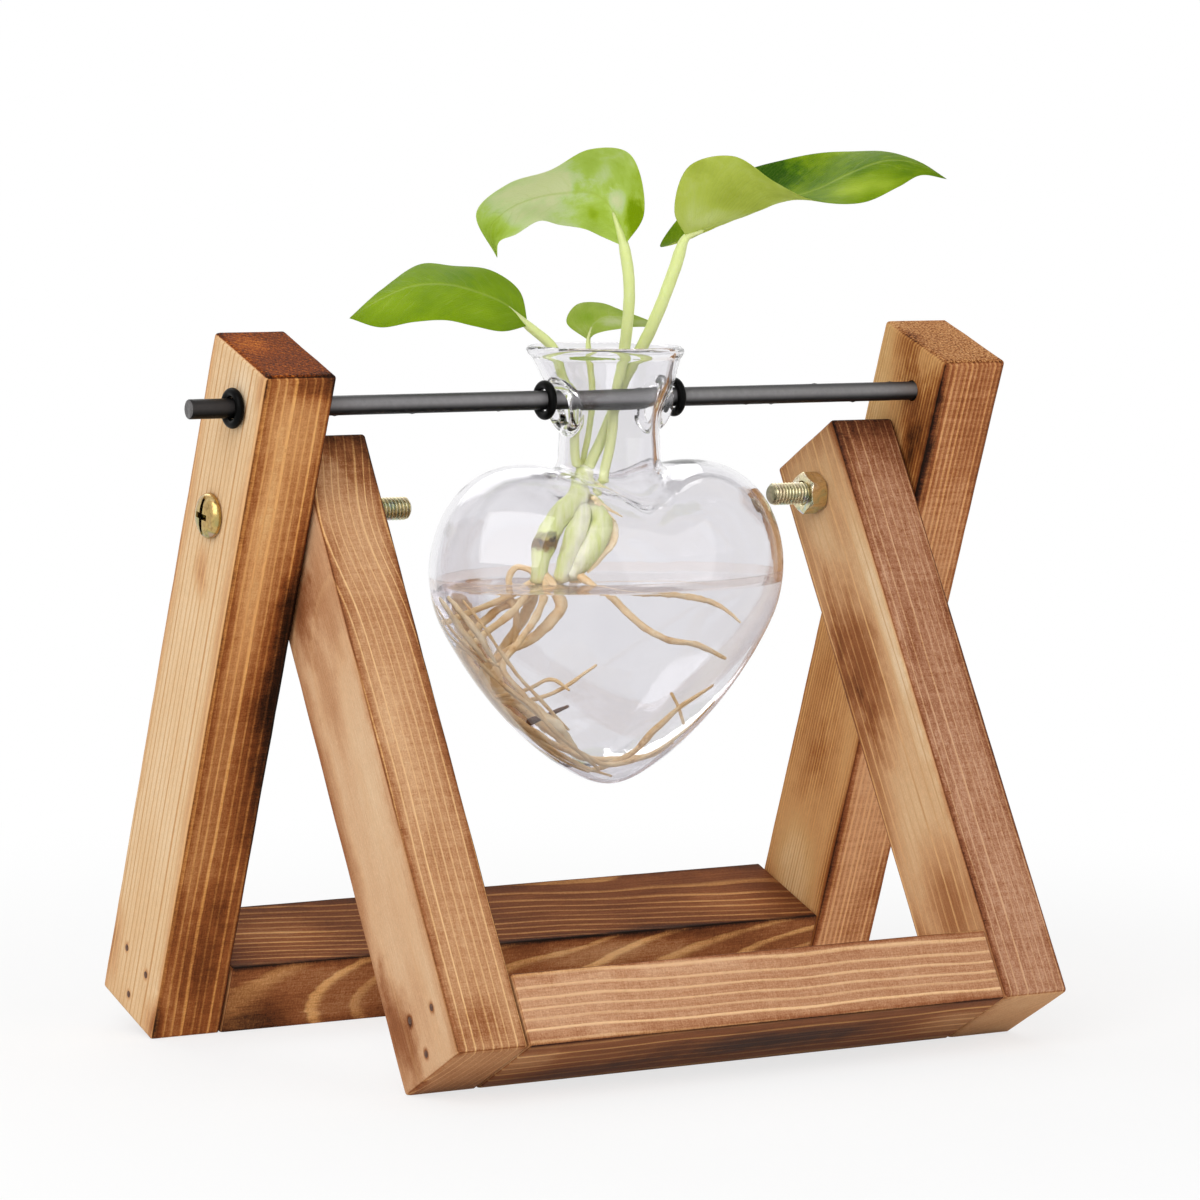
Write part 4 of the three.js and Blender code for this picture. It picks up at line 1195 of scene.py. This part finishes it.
def glass_material():
    s = Shader("clear_glass")
    place, _ = s.local(VASE)
    waves, seeds = s.noise(place, 0.05), s.noise(place, 0.4)
    height = s.add(waves, s.times(seeds, 0.06))
    # The grey of this tint is painted shade: it stands in for darker surroundings seen through and in the
    # glass
    tint = s.ramp(waves, [(0.2, (236, 235, 238)), (0.8, (242, 241, 243))])
    glass = s.principled(
        base_color=tint, roughness=0.0, ior=1.48, transmission_weight=1.0, normal=s.bump(height, 0.3, 0.0006),
    )
    return s.clear_surface(glass, (0.95, 0.95, 0.96, 1))


def water_material():
    s = Shader("water")
    place, _ = s.local(VASE)
    waves = s.noise(place, 0.12)
    tint = s.ramp(waves, [(0.2, (252, 252, 252)), (0.8, (254, 254, 254))])
    water = s.principled(
        base_color=tint, roughness=0.0, ior=1.33, transmission_weight=1.0, normal=s.bump(waves, 0.15, 0.0005),
    )
    edge = s.node("ShaderNodeBsdfTransparent", {"Color": linear((255, 252, 250))}).outputs[0]
    z = s.split(place)[2]
    top = WATER_LEVEL + EDGE_CLIMB
    low_end = s.step(z, WATER_LEVEL + 0.06, WATER_LEVEL + 0.5, 0.0, 0.86)
    climbing = s.times(low_end, s.step(z, top - 0.25, top, 1.0, 0.4))
    return s.clear_surface(s.blend(climbing, water, edge), (0.97, 0.97, 0.97, 1))


GLASS_LOW, GLASS_HIGH = (-52.5, -34.5, -102), (52.5, 34.5, 15.5)
GLASS_STEP = 0.85
points, faces, normals = surface_mesh(glass_field, GLASS_LOW, GLASS_HIGH, GLASS_STEP)
glass = make("glass_vase", points + np.array(VASE), faces, "vase", [glass_material()], "clear_glass",
             replaces=["glass_vase", "glass_neck"])
glass.data.normals_split_custom_set_from_vertices([tuple(v) for v in normals])
points, faces = water_mesh()
make("water", points + np.array(VASE), faces, "vase", [water_material()], "water", 35)


# Leaves
def leaf_mesh(mid, one, other, rows=84, columns=30, thick=0.34, quilt=0.13, side_veins=13):
    """Blade from its midrib and two edges, quilted between the side veins."""
    v = np.linspace(0, 1, rows + 2)[1:-1]
    lines = [spline(points, v) for points in (mid, one, other)]
    t = np.linspace(-1, 1, columns)
    t = np.sin(t * math.pi / 2 * 0.96) / math.sin(math.pi / 2 * 0.96)
    weight = (1 - t ** 2, (t ** 2 + t) / 2, (t ** 2 - t) / 2)
    p = sum(line[:, None, :] * w[None, :, None] for line, w in zip(lines, weight))
    along = np.gradient(p, axis=0)
    across = np.gradient(p, t, axis=1)
    normal = unit(np.cross(along, across))
    vv, tt = np.meshgrid(v, t, indexing="ij")
    phase = (vv - 0.22 * np.abs(tt) ** 1.3) * side_veins
    open_part = np.clip(1 - np.abs(tt) ** 4, 0, 1) * np.clip(np.abs(tt) * 5, 0, 1)
    bulge = quilt * (np.abs(np.sin(phase * math.pi)) - 0.5) * open_part
    groove = -0.18 * np.exp(-(tt / 0.05) ** 2) * np.clip(6 * (1 - vv), 0, 1)
    taper = np.clip(vv * 9, 0, 1) * np.clip((1 - vv) * 9, 0, 1)
    middle = p + normal * ((bulge + groove) * taper)[..., None]
    half = thick / 2 * np.sqrt(np.clip(1 - tt ** 6, 0, 1)) * np.clip(8 * vv * (1 - vv) + 0.25, 0, 1)
    top = middle + normal * half[..., None]
    low = middle - normal * half[..., None]
    rings = np.concatenate([top, low[:, ::-1][:, 1:-1]], axis=1)
    points, faces = closed_rows(rings, mid[0], mid[-1])
    around = rings.shape[1]
    where = np.zeros((len(points), 3))
    flat_v = np.repeat(v, around)
    flat_t = np.tile(np.concatenate([t, t[::-1][1:-1]]), rows)
    side = np.tile(np.concatenate([np.ones(columns), np.zeros(columns - 2)]), rows)
    where[:len(flat_v), 0], where[:len(flat_v), 1], where[:len(flat_v), 2] = flat_v, flat_t, side
    where[-2] = (0, 0, 0.5)
    where[-1] = (1, 0, 0.5)
    return points, faces, where


# Each edge runs from the base of the midrib to its tip
LEAVES = {
    "leaf_left": dict(
        mid=[(-18, 11, 18.5), (-23.5, 12, 23.5), (-31, 14.5, 27), (-39, 17, 29), (-47.5, 20, 28.5),
             (-55.5, 22.5, 25), (-63, 24.5, 20.5)],
        one=[(-16.5, 18.5, 27.5), (-22.5, 23, 32.5), (-31, 27.5, 33.5), (-39.5, 29, 34), (-51.5, 27, 28)],
        other=[(-30, 4.5, 17.5), (-38.5, 3.5, 19), (-45.5, 5.5, 20.5), (-53, 9, 20), (-59, 15, 18.5)],
        petiole=[(-23.5, 12, 23.3), (-18, 11, 18.5), (-12.3, 8.5, 13), (-9.6, 8, 5.5), (-7.1, 6.8, -2),
                 (-7, 6.2, -9.5), (-7.1, 5.1, -18.3)],
        radii=[0.4, 1.2, 1.35, 1.35, 1.3, 1.3, 1.2],
        above=[(0.0, (110, 152, 0)), (0.4, (138, 172, 0)), (0.7, (156, 188, 10)), (1.0, (186, 212, 66))],
        below=[(0.0, (160, 188, 60)), (1.0, (188, 208, 104))],
        marks=[((-36, 18, 30), (12, 12, 4), -0.2), ((-54, 20, 24), (9, 9, 5), 0.2),
               ((-33, 9, 22), (8, 8, 3), 0.2)],
    ),
    "leaf_centre": dict(
        mid=[(3, -1.5, 39), (1.5, 1.5, 48), (-2.5, 5, 52.5), (-9.5, 9.5, 52.5), (-16.5, 12.5, 51),
             (-23, 14, 48), (-28, 14, 43), (-28, 10, 36)],
        one=[(4, -9.5, 48), (-1, -10, 62.9), (-10, -5.5, 63.9), (-18.5, 0, 58.5), (-27.5, 5.5, 55),
             (-34, 10.5, 47.5)],
        other=[(-2.5, 0.5, 41.5), (-7.5, 1, 43.5), (-13.5, 3.5, 44.5), (-18, 5.5, 45.5), (-24, 7.5, 42),
               (-27.5, 10, 40)],
        petiole=[(1.5, 1.5, 47.6), (3, -1.5, 39), (4, -2.5, 29), (4.5, -1, 19), (5.3, 2.5, 9.5),
                 (4.5, 4.7, -0.5), (3, 4, -11), (-0.5, 3.7, -23.6)],
        radii=[0.4, 1.5, 1.5, 1.5, 1.4, 1.35, 1.35, 1.3],
        # The centre leaf's raised colours and its broad pale mark are partly its pale variegation and partly
        # painted light on the part of the blade that faces down, away from the lamps
        above=[(0.0, (150, 180, 6)), (0.3, (182, 208, 58)), (0.6, (208, 230, 122)), (0.8, (226, 238, 190)),
               (1.0, (240, 240, 206))],
        below=[(0.0, (168, 190, 100)), (0.5, (186, 202, 140)), (1.0, (204, 216, 176))],
        marks=[((4, -6, 46), (5, 6, 8), -0.75), ((1, -1, 50), (3, 5, 6), 0.55), ((-2, 0, 57), (4, 6, 6), 0.2),
               ((-12, 8, 55), (9, 9, 5), 0.25), ((-20, 8, 53), (24, 22, 19), 0.54),
               ((-27, 12, 43), (7, 8, 5), -0.2), ((-5, 2, 60), (5, 6, 4), -0.15),
               ((-3, 5, 47), (2, 4, 3), -0.25)],
    ),
    "leaf_small": dict(
        mid=[(-0.5, 10, 14.5), (0.5, 10, 18), (3.5, 8.5, 20.5), (6.5, 6.5, 20.5), (9.5, 4.5, 20),
             (12.5, 2, 19), (14.5, -0.5, 18.5)],
        one=[(-3.5, 16, 19), (0.5, 17.5, 23.5), (6, 15, 24), (10, 10, 22), (13.5, 4.5, 20)],
        other=[(-0.5, 7.5, 16), (1, 4.8, 17), (3.9, 3, 17.6), (7.4, 1.2, 18.2), (10.8, 0, 18.3)],
        petiole=[(0.5, 10, 17.8), (-0.5, 10, 14.5), (0.3, 10.3, 8), (0.8, 10.2, 0), (-0.6, 9.6, -9),
                 (-3.2, 9.4, -19.4)],
        radii=[0.3, 0.9, 0.9, 0.85, 0.85, 0.85],
        above=[(0.0, (122, 146, 62)), (0.5, (148, 166, 84)), (1.0, (170, 184, 112))],
        below=[(0.0, (160, 196, 40)), (0.5, (196, 218, 98)), (1.0, (230, 236, 190))],
        marks=[((5, 6, 19.5), (6, 5, 2), 0.4), ((0, 12, 20), (4, 4, 3), -0.2), ((11, 2, 19), (5, 4, 3), 0.3)],
    ),
    "leaf_right": dict(
        mid=[(16.5, -10, 41.5), (20, -12, 43.5), (25.5, -15.5, 46), (32, -19.5, 48.5), (38.5, -23.5, 51.5),
             (45, -27.5, 54), (52.5, -32.5, 58.5), (60, -37, 61.5), (67, -41.5, 60.5), (72.5, -46, 57)],
        one=[(10.5, -13.5, 48.5), (10.5, -20.5, 60), (19, -28, 62.5), (27.5, -34.5, 56),
             (36, -39.5, 51.5), (48, -43.5, 51), (58, -45, 55), (66, -44, 58)],
        other=[(14.5, -0.5, 39), (23, -1.5, 49.5), (35, -6.5, 58), (45.5, -11.5, 61.5), (53, -16.5, 63.3),
               (59, -22.5, 63.8), (64.5, -30, 63.8), (69, -38, 61.4)],
        petiole=[(20, -12, 43.3), (16.5, -10, 41.5), (14, -8.5, 33.5), (11.5, -6, 24), (9.8, -1.5, 15),
                 (8.5, 5.5, 5.5), (6, 7.4, -2.5), (2.6, 7.4, -10), (-2.6, 6.5, -18.6)],
        radii=[0.5, 1.6, 1.6, 1.6, 1.6, 1.55, 1.5, 1.5, 1.5],
        above=[(0.0, (52, 96, 0)), (0.35, (82, 124, 0)), (0.65, (134, 164, 12)), (1.0, (180, 202, 66))],
        below=[(0.0, (200, 214, 56)), (0.5, (228, 238, 108)), (1.0, (246, 250, 184))],
        marks=[((38, -12, 57), (17, 10, 8), -0.6), ((52, -38, 55), (18, 10, 6), 0.35),
               ((22, -18, 46), (16, 10, 5), 0.4), ((12, -20, 61), (8, 9, 6), -0.3),
               ((16, -14, 52), (4, 8, 12), 0.15)],
    ),
}


def leaf_material(name, stops, marks, vein, gloss=0.34, shine=0.10, through=0.42):
    """One side of a blade. The leaf attribute is the share along the midrib and across it."""
    s = Shader(name)
    where = s.node("ShaderNodeAttribute", attribute_name="leaf").outputs["Vector"]
    v, t, _ = s.split(where)
    place, _ = s.local(VASE)
    across = s.absolute(t)
    bend = s.times(s.math("POWER", across, 1.3), 0.22)
    wide = s.noise(place, 0.055, 2.0, 0.5, 0.4)
    patch = s.noise(place, 0.35, 4.0, 0.62)
    streak = s.noise(s.vector(s.times(s.minus(v, bend), 9.0), s.times(t, 2.2), 3.0), 1.0, 3.0, 0.6)
    tone = s.add(s.times(wide, 0.9), s.times(patch, 0.35), s.times(streak, 0.45), -0.35)
    tone = s.add(tone, s.spots(place, marks, s.times(s.minus(patch, 0.5), 0.9)))
    colour = s.ramp(tone, stops)
    rib = s.bell(s.times(across, 26.0))
    phase = s.times(s.minus(s.add(v, s.times(patch, 0.05)), bend), 11.0)
    fine = s.absolute(s.minus(s.math("FRACT", phase), 0.5))
    branch = s.times(s.step(fine, 0.0, 0.12, 1.0, 0.0), s.step(across, 0.97, 0.6))
    branch = s.times(branch, s.step(streak, 0.4, 0.65))
    phase2 = s.times(s.minus(s.add(v, s.times(patch, 0.04)), s.times(bend, 1.4)), 52.0)
    fine2 = s.step(s.absolute(s.minus(s.math("FRACT", phase2), 0.5)), 0.0, 0.3, 1.0, 0.0)
    net = s.node("ShaderNodeTexVoronoi", {"Vector": place, "Scale": 1.6}, feature="DISTANCE_TO_EDGE")
    mesh_lines = s.step(net.outputs[0], 0.0, 0.12, 1.0, 0.0)
    for lines, amount in ((branch, 0.14), (fine2, 0.05), (rib, 0.40), (mesh_lines, 0.05)):
        colour = s.mix(s.times(lines, amount), colour, linear(vein))
    height = s.add(
        s.times(branch, -0.5), s.times(rib, -0.8), s.times(fine2, -0.2), s.times(mesh_lines, -0.12),
        s.times(patch, 0.5),
    )
    normal = s.bump(height, 0.6, 0.00022)
    rough = s.add(s.times(patch, 0.18), gloss)
    skin = s.principled(base_color=colour, roughness=rough, specular_ior_level=shine, normal=normal)
    glow = s.node("ShaderNodeBsdfTranslucent", {"Color": colour, "Normal": normal}).outputs[0]
    return s.surface(s.blend(through, skin, glow))


def petiole_material():
    """Pale green stalk, greener towards its leaf."""
    s = Shader("petiole")
    place, _ = s.local(VASE)
    x, y, z = s.split(place)
    grain = s.noise(s.vector(s.times(x, 1.6), s.times(y, 1.6), s.times(z, 0.12)), 1.0, 3.0, 0.55)
    spots = s.noise(place, 1.1, 3.0, 0.6)
    share = s.add(s.step(z, -10, 30), s.times(s.minus(grain, 0.5), 0.7))
    colour = s.mix(share, linear((224, 230, 162)), linear((218, 228, 152)))
    colour = s.mix(s.step(spots, 0.5, 0.75, 0.0, 0.35), colour, linear((226, 232, 190)))
    return s.surface(s.principled(
        base_color=colour, roughness=s.add(s.times(grain, 0.2), 0.32), specular_ior_level=0.4,
        subsurface_weight=0.25, subsurface_radius=(0.0016, 0.0018, 0.0008), subsurface_scale=1.0,
        normal=s.bump(s.add(grain, s.times(spots, 0.5)), 0.4, 0.00018),
    ))


petiole_look = petiole_material()
for name, leaf in LEAVES.items():
    base, *_, tip = leaf["mid"]
    one, other = ([base, *leaf[edge], tip] for edge in ("one", "other"))
    blade_points, blade_faces, where = leaf_mesh(leaf["mid"], one, other)
    stalk = shoot(leaf["petiole"], leaf["radii"], 24, 0.6, 0.06, len(name))
    points, faces, owner = joined([(blade_points, blade_faces), stalk])
    above = leaf_material(f"{name}_above", leaf["above"], leaf["marks"], (196, 214, 100))
    below = leaf_material(f"{name}_below", leaf["below"], leaf["marks"], (224, 232, 170), 0.44, 0.08, 0.5)
    made = make(name, points + np.array(VASE), faces, "vase", [above, below, petiole_look], "leaf")
    attribute = made.data.attributes.new("leaf", "FLOAT_VECTOR", "POINT")
    values = np.zeros((len(points), 3))
    values[:len(where)] = where
    attribute.data.foreach_set("vector", values.reshape(-1))
    for face, k in zip(made.data.polygons, owner):
        side = np.mean([values[i][2] for i in face.vertices])
        face.material_index = 2 if k == 1 else (1 if side > 0.5 else 0)


# Stem and roots
STEMS = [
    ([(-4.6, 5.6, -19.4), (-6.3, 5.2, -25.5), (-10.3, 7.6, -31), (-14, 8.7, -38), (-15.4, 9.4, -47.5)],
     [2.3, 3.0, 3.3, 2.8, 3.2, 2.4, 2.2]),
    ([(-6.6, 5.6, -25.6), (-1.8, 4.3, -26.8), (-0.4, 2.8, -32.5), (-3.6, 3, -39), (-8, 5, -46)],
     [1.8, 2.6, 3.1, 3.0, 2.0]),
    ([(-5.5, 5.2, -24.5), (-5.6, 4.6, -31), (-8.0, 4.8, -37.5), (-10.6, 6.2, -46.8)],
     [2.2, 2.7, 2.9, 2.4, 2.0]),
]
SHEATHS = [
    ([(1.2, 3.0, -28.5), (2.9, 2.0, -32.5), (2.6, 1.6, -36.5), (-0.6, 1.8, -40.5), (-4.2, 3.2, -45)],
     [0.4, 0.8, 0.9, 0.8, 0.4]),
    ([(-3, 2.6, -25.3), (0.5, 1.8, -27.6), (4.8, 0.8, -30.2)], [0.9, 0.6, 0.3]),
    ([(-2.4, 2.4, -26.5), (1.2, 1.6, -29.6), (3.2, 1.2, -31.6)], [0.8, 0.5, 0.25]),
    ([(-31.5, -3.5, -71.5), (-26.5, -7, -76), (-20, -9, -81.5), (-13.5, -7.5, -87.5)],
     [0.6, 1.3, 1.3, 0.5]),
    ([(-46.5, 3, -49.5), (-45.5, 0, -53), (-43.5, -2, -57), (-41, -4, -61), (-38, -4.5, -65)],
     [0.5, 0.9, 1, 0.9, 0.4]),
    ([(-46, 0, -49), (-45, -4.5, -53), (-43, -6.5, -56.5), (-40, -7, -60.5), (-36.5, -6.5, -65)],
     [0.5, 0.8, 0.9, 0.8, 0.4]),
    ([(-45, 9, -50), (-44, 9, -53.5), (-42.5, 9, -57), (-40, 8.5, -61), (-37, 8.5, -65), (-33.5, 8, -69)],
     [0.9, 1.2, 1.2, 1.2, 1, 0.6]),
]
ROOTS = [
    ([(-15.4, 9.4, -45), (-15.3, 11.5, -49.8), (-21.5, 14.5, -52.5), (-26.5, 15, -57.5), (-23.8, 13.5, -66),
      (-18.8, 11, -75.5), (-10.8, 6.7, -85), (-3.7, 2.3, -91.5), (1, -0.6, -94.3)],
     [1, 0.8, 0.8, 0.8, 0.8, 0.7, 0.7, 0.6, 0.4]),
    ([(-14.2, 8.8, -45.5), (-12.1, 4.5, -51.7), (-18, 4.4, -57.5), (-24, 5.7, -60.9), (-26.5, 8.8, -65),
      (-24, 9, -73), (-17.7, 6.3, -79.6), (-11.2, 3.4, -85.2), (-5.3, 1, -88.9)],
     [1.3, 1.3, 1.2, 1.1, 1, 1, 1, 0.8, 0.5]),
    ([(-15, 10, -46), (-14.3, 14, -52.5), (-16.8, 17.5, -60), (-16.5, 17, -67), (-10.8, 13.2, -74.9),
      (-6, 9.6, -82), (-1.5, 5.7, -88), (7.5, -1.1, -88.5), (12.8, -5.8, -85.6)],
     [1.2, 1.1, 1, 1, 1, 0.9, 0.8, 0.7, 0.5]),
    ([(-8, 5, -44.5), (-3.5, -2.5, -49.8), (-2.2, -9.2, -53.4), (1.3, -13.7, -57.4), (6.7, -15.9, -60.1),
      (13.1, -16, -61.1), (22.5, -15.5, -65.1)], [1.2, 0.9, 0.8, 0.8, 0.7, 0.7, 0.4]),
    ([(-8, 5.4, -44.8), (-6, 7.8, -47.4), (2.8, 7.7, -49.6), (12, 6.7, -50.6), (20.2, 4, -51.4),
      (24.8, -1.2, -52.8), (28.4, -8, -56.4)], [1, 0.7, 0.6, 0.6, 0.6, 0.5, 0.3]),
    ([(-2.6, 1.6, -92.4), (2.9, -5, -88.5), (6.4, -8.4, -82.4), (11.1, -11.3, -76.8), (20, -14, -71.8)],
     [0.8, 0.8, 0.8, 0.7, 0.4]),
    ([(-24, 9, -72.6), (-20.5, 3.3, -70.7), (-17, -1.2, -68.3), (-14, -4.3, -71.1)], [0.7, 0.5, 0.5, 0.3]),
    ([(-23.6, 9, -73.6), (-18.8, 5.7, -73.2), (-15.6, -0.9, -71.5), (-9.1, -7.3, -65.2)],
     [0.8, 0.6, 0.5, 0.3]),
    ([(-20, 2, -79.5), (-19, -3, -78), (-15.5, -6.5, -75.5)], [1.0, 0.7, 0.4]),
    ([(-15.3, 9.6, -46.6), (-17.3, 11.3, -44.4), (-20, 13, -44), (-21.6, 13.9, -47.3), (-18.4, 12.6, -52.6),
      (-17.6, 12.6, -59)], [1, 0.8, 0.8, 0.8, 0.7, 0.5]),
    ([(13.6, -10.7, -81.4), (11.1, -11.3, -76.8), (8.8, -11.3, -72.9)], [0.4, 0.5, 0.35]),
    # Strands that lie against the wall on the left, from the waterline to the tip
    ([(-44.5, 8, -50.5), (-43, 5, -58), (-40, -1, -63.5), (-35, -4.5, -69.5), (-27.5, -8.5, -76.5),
      (-19, -8.5, -84.5), (-12.5, -8, -89), (-5.5, -5.5, -93.5)], [0.4, 0.6, 0.7, 0.7, 0.7, 0.7, 0.6, 0.4]),
    ([(-15, 9.5, -47), (-22, 8, -52.5), (-31, 6, -57.5), (-38.5, 3.5, -63.5), (-35, 3.5, -69),
      (-29.5, 3, -76), (-22.5, 1, -84), (-13.5, -1, -91), (-6, -2, -94)],
     [0.8, 0.8, 0.8, 0.8, 0.8, 0.8, 0.7, 0.6, 0.4]),
    ([(-14, 7.5, -47), (-19, 2.5, -53), (-27, -2, -59.5), (-33.5, -5.5, -66.5), (-30, -8, -72.5),
      (-22.5, -8, -80), (-14, -6.5, -87)], [0.8, 0.9, 0.8, 0.8, 0.8, 0.7, 0.4]),
    ([(-42, 12.5, -51), (-39, 12.5, -57.5), (-33.5, 13, -64.5), (-27.5, 12.5, -72.5), (-19, 10, -81.5),
      (-9, 5, -90)], [0.4, 0.7, 0.7, 0.7, 0.6, 0.4]),
    ([(-13, -7.5, -88.5), (-4, -6.5, -92), (5, -7.5, -89.5), (14, -11, -84), (22, -14.5, -77)],
     [0.6, 0.8, 0.7, 0.6, 0.4]),
    ([(-15.5, 10, -47), (-22, 13, -50.5), (-31, 15, -53.5), (-38, 14.5, -56)], [0.8, 0.7, 0.6, 0.4]),
    ([(-33, -5, -66), (-36, 2, -62), (-40.5, 5, -56.5), (-43, 7.5, -51.5)], [0.4, 0.5, 0.5, 0.3]),
    ([(-45.5, -5.5, -49.5), (-42, -8.5, -55), (-37.5, -9, -61), (-32, -9.5, -68), (-25, -10, -75),
      (-17, -9.5, -82.5)], [0.3, 0.4, 0.5, 0.5, 0.5, 0.3]),
]
DARK_ROOT = 8


def stem_material():
    """Pale stem with fine lengthwise streaks, a dark node on its left shoot and brown at its foot."""
    s = Shader("stem")
    place, _ = s.local(VASE)
    x, y, z = s.split(place)
    grain = s.noise(s.vector(s.times(x, 0.9), s.times(y, 0.9), s.times(z, 0.1)), 1.0, 3.0, 0.55)
    blot = s.noise(place, 0.45, 3.0, 0.6)
    pale = s.step(s.absolute(s.add(x, s.times(z, -0.22), -1.0)), 0.5, 3.5, 0.6, 0.0)
    share = s.add(s.times(grain, 1.3), pale, -0.25)
    colour = s.mix(share, linear((206, 218, 112)), linear((242, 242, 214)))
    left = s.step(x, -10.2, -12.0)
    for node_z, width, amount in ((-37.4, 2.0, 1.0), (-35.2, 0.7, 0.55)):
        band = s.absolute(s.add(z, -node_z, s.times(s.minus(blot, 0.5), 4.0)))
        band = s.times(s.step(band, width * 0.3, width * 1.3, amount, 0.0), left)
        colour = s.mix(band, colour, s.ramp(blot, [(0.35, (50, 32, 6)), (0.6, (140, 104, 30))]))
    marks = [
        ((-3.5, 3, -25.5), (2.5, 4, 2.2), 0.8), ((1.8, 1, -38), (3, 5, 5), 0.5),
        ((-6, 3, -45), (4, 5, 3), 0.4),
    ]
    stained = s.spots(place, marks, s.times(s.minus(blot, 0.5), 1.2))
    colour = s.mix(stained, colour, linear((134, 108, 66)))
    low = s.step(s.add(z, s.times(blot, 4.0)), -46.5, -42.0, 0.7, 0.0)
    colour = s.mix(low, colour, linear((206, 186, 136)))
    return s.surface(s.principled(
        base_color=colour, roughness=s.add(s.times(grain, 0.2), 0.34), specular_ior_level=0.4,
        subsurface_weight=0.25, subsurface_radius=(0.0016, 0.0016, 0.0008), subsurface_scale=1.0,
        normal=s.bump(s.add(grain, blot), 0.6, 0.0004),
    ))


def root_material(name, stops):
    s = Shader(name)
    place, _ = s.local(VASE)
    blot = s.noise(place, 0.22, 3.0, 0.6)
    grain = s.noise(place, 1.4, 3.0, 0.6)
    colour = s.ramp(s.add(s.times(blot, 0.9), s.times(grain, 0.45), -0.14), stops)
    dark = s.ramp(blot, [(0.0, stops[0][1]), (1.0, stops[1][1])])
    colour = s.mix(s.step(grain, 0.62, 0.72, 0.0, 0.55), colour, dark)
    return s.surface(s.principled(
        base_color=colour, roughness=s.add(s.times(grain, 0.2), 0.5), specular_ior_level=0.3,
        normal=s.bump(s.add(grain, blot), 0.6, 0.0002),
    ))


stem_look = stem_material()
root_look = root_material("root", [
    (0.15, (116, 75, 43)), (0.27, (187, 142, 93)), (0.40, (230, 192, 139)), (0.65, (243, 217, 173)),
    (0.85, (250, 237, 206)),
])
twig_look = root_material("dark_root", [(0.2, (66, 42, 30)), (0.6, (104, 70, 50)), (0.9, (140, 102, 76))])
# Paled beyond their own tone, as painted light that makes up for the dimmer light inside the water, where
# four of these strands lie
sheath_look = root_material("sheath", [
    (0.2, (200, 160, 108)), (0.4, (248, 222, 176)), (0.8, (255, 244, 216)),
])
parts, kinds = [], []
for shoots, kind, sides, step, uneven, seed in (
    (STEMS, 0, 32, 0.5, 0.16, 3), (SHEATHS, 3, 18, 0.4, 0.45, 31), (ROOTS, 1, 14, 0.5, 0.30, 11),
):
    for k, (points, radii) in enumerate(shoots):
        parts.append(shoot(points, radii, sides, step, uneven, k + seed))
        kinds.append(2 if shoots is ROOTS and k == DARK_ROOT else kind)
points, faces, owner = joined(parts)
looks = [stem_look, root_look, twig_look, sheath_look]
made = make("rooted_stem", points + np.array(VASE), faces, "vase", looks, "root")
for face, k in zip(made.data.polygons, owner):
    face.material_index = kinds[k]


# Studio: pale floor, white surroundings, soft lamps
def floor_material():
    s = Shader("floor")
    place = s.node("ShaderNodeTexCoord").outputs["Object"]
    tone = s.add(s.times(s.noise(place, 40.0), 0.01), 0.93)
    paint = s.node("ShaderNodeBsdfDiffuse", {"Color": s.vector(tone, tone, tone)}).outputs[0]
    white = s.node("ShaderNodeEmission", {"Color": (1, 1, 1, 1), "Strength": 1.0}).outputs[0]
    far = s.node("ShaderNodeVectorMath", (place,), operation="LENGTH").outputs["Value"]
    spread = s.step(far, 0.16, 0.42, 0.72, 1.0)
    return s.surface(s.blend(s.times(s.sees_white(), spread), paint, white))


FLOOR_HALF = 4000.0
FLOOR_DROP = 0.1
corners = [(x * FLOOR_HALF, y * FLOOR_HALF, -FLOOR_DROP) for x, y in ((-1, -1), (1, -1), (1, 1), (-1, 1))]
floor = new_object("floor", corners, [(0, 1, 2, 3)])
floor.data.materials.append(floor_material())

# Surroundings: white to look at, half as bright as a light
world = bpy.data.worlds.new("studio")
bpy.context.scene.world = world
s = Shader("studio", world, "ShaderNodeOutputWorld")
dim, white = (
    s.node("ShaderNodeBackground", {"Color": (1, 1, 1, 1), "Strength": strength}).outputs[0]
    for strength in (0.5, 1.0)
)
s.surface(s.blend(s.sees_white(), dim, white))


def lamp(name, place, target, size, power):
    data = bpy.data.lights.new(name, "AREA")
    data.shape = "RECTANGLE"
    data.size, data.size_y = size
    data.energy = power
    made = bpy.data.objects.new(name, data)
    bpy.context.collection.objects.link(made)
    made.location = place
    made.rotation_euler = (Vector(target) - Vector(place)).to_track_quat("-Z", "Y").to_euler()


lamp("key", (-1.1, -0.75, 1.0), (0, 0, 0.1), (1.4, 1.4), 15.0)
lamp("fill", (0.75, -1.2, 0.7), (0, 0, 0.1), (1.3, 1.3), 4.0)
lamp("back", (0.2, 1.1, 1.2), (0, 0, 0.15), (1.3, 0.9), 6.0)

# Camera, from the corners of the stand measured in the picture
right = Vector((0.8515949867, -0.5241212855, 0.0091025622))
up = Vector((0.0427376109, 0.0867262094, 0.9953150563))
back = Vector((-0.5224552375, -0.8472162904, 0.0962552967))
data = bpy.data.cameras.new("camera")
data.lens = 152.868
data.sensor_width = 36
data.sensor_fit = "AUTO"
data.clip_start = 0.01
data.clip_end = 50
camera = bpy.data.objects.new("camera", data)
bpy.context.collection.objects.link(camera)
turn = Matrix((right, up, back)).transposed().to_4x4()
camera.matrix_world = Matrix.Translation((-0.68848564, -1.11497318, 0.23960913)) @ turn
bpy.context.scene.camera = camera
bpy.context.scene.view_settings.view_transform = "Standard"
bpy.context.scene.cycles.max_bounces = 24
bpy.context.scene.cycles.glossy_bounces = 16
bpy.context.scene.cycles.transmission_bounces = 24

low, high = cad_box
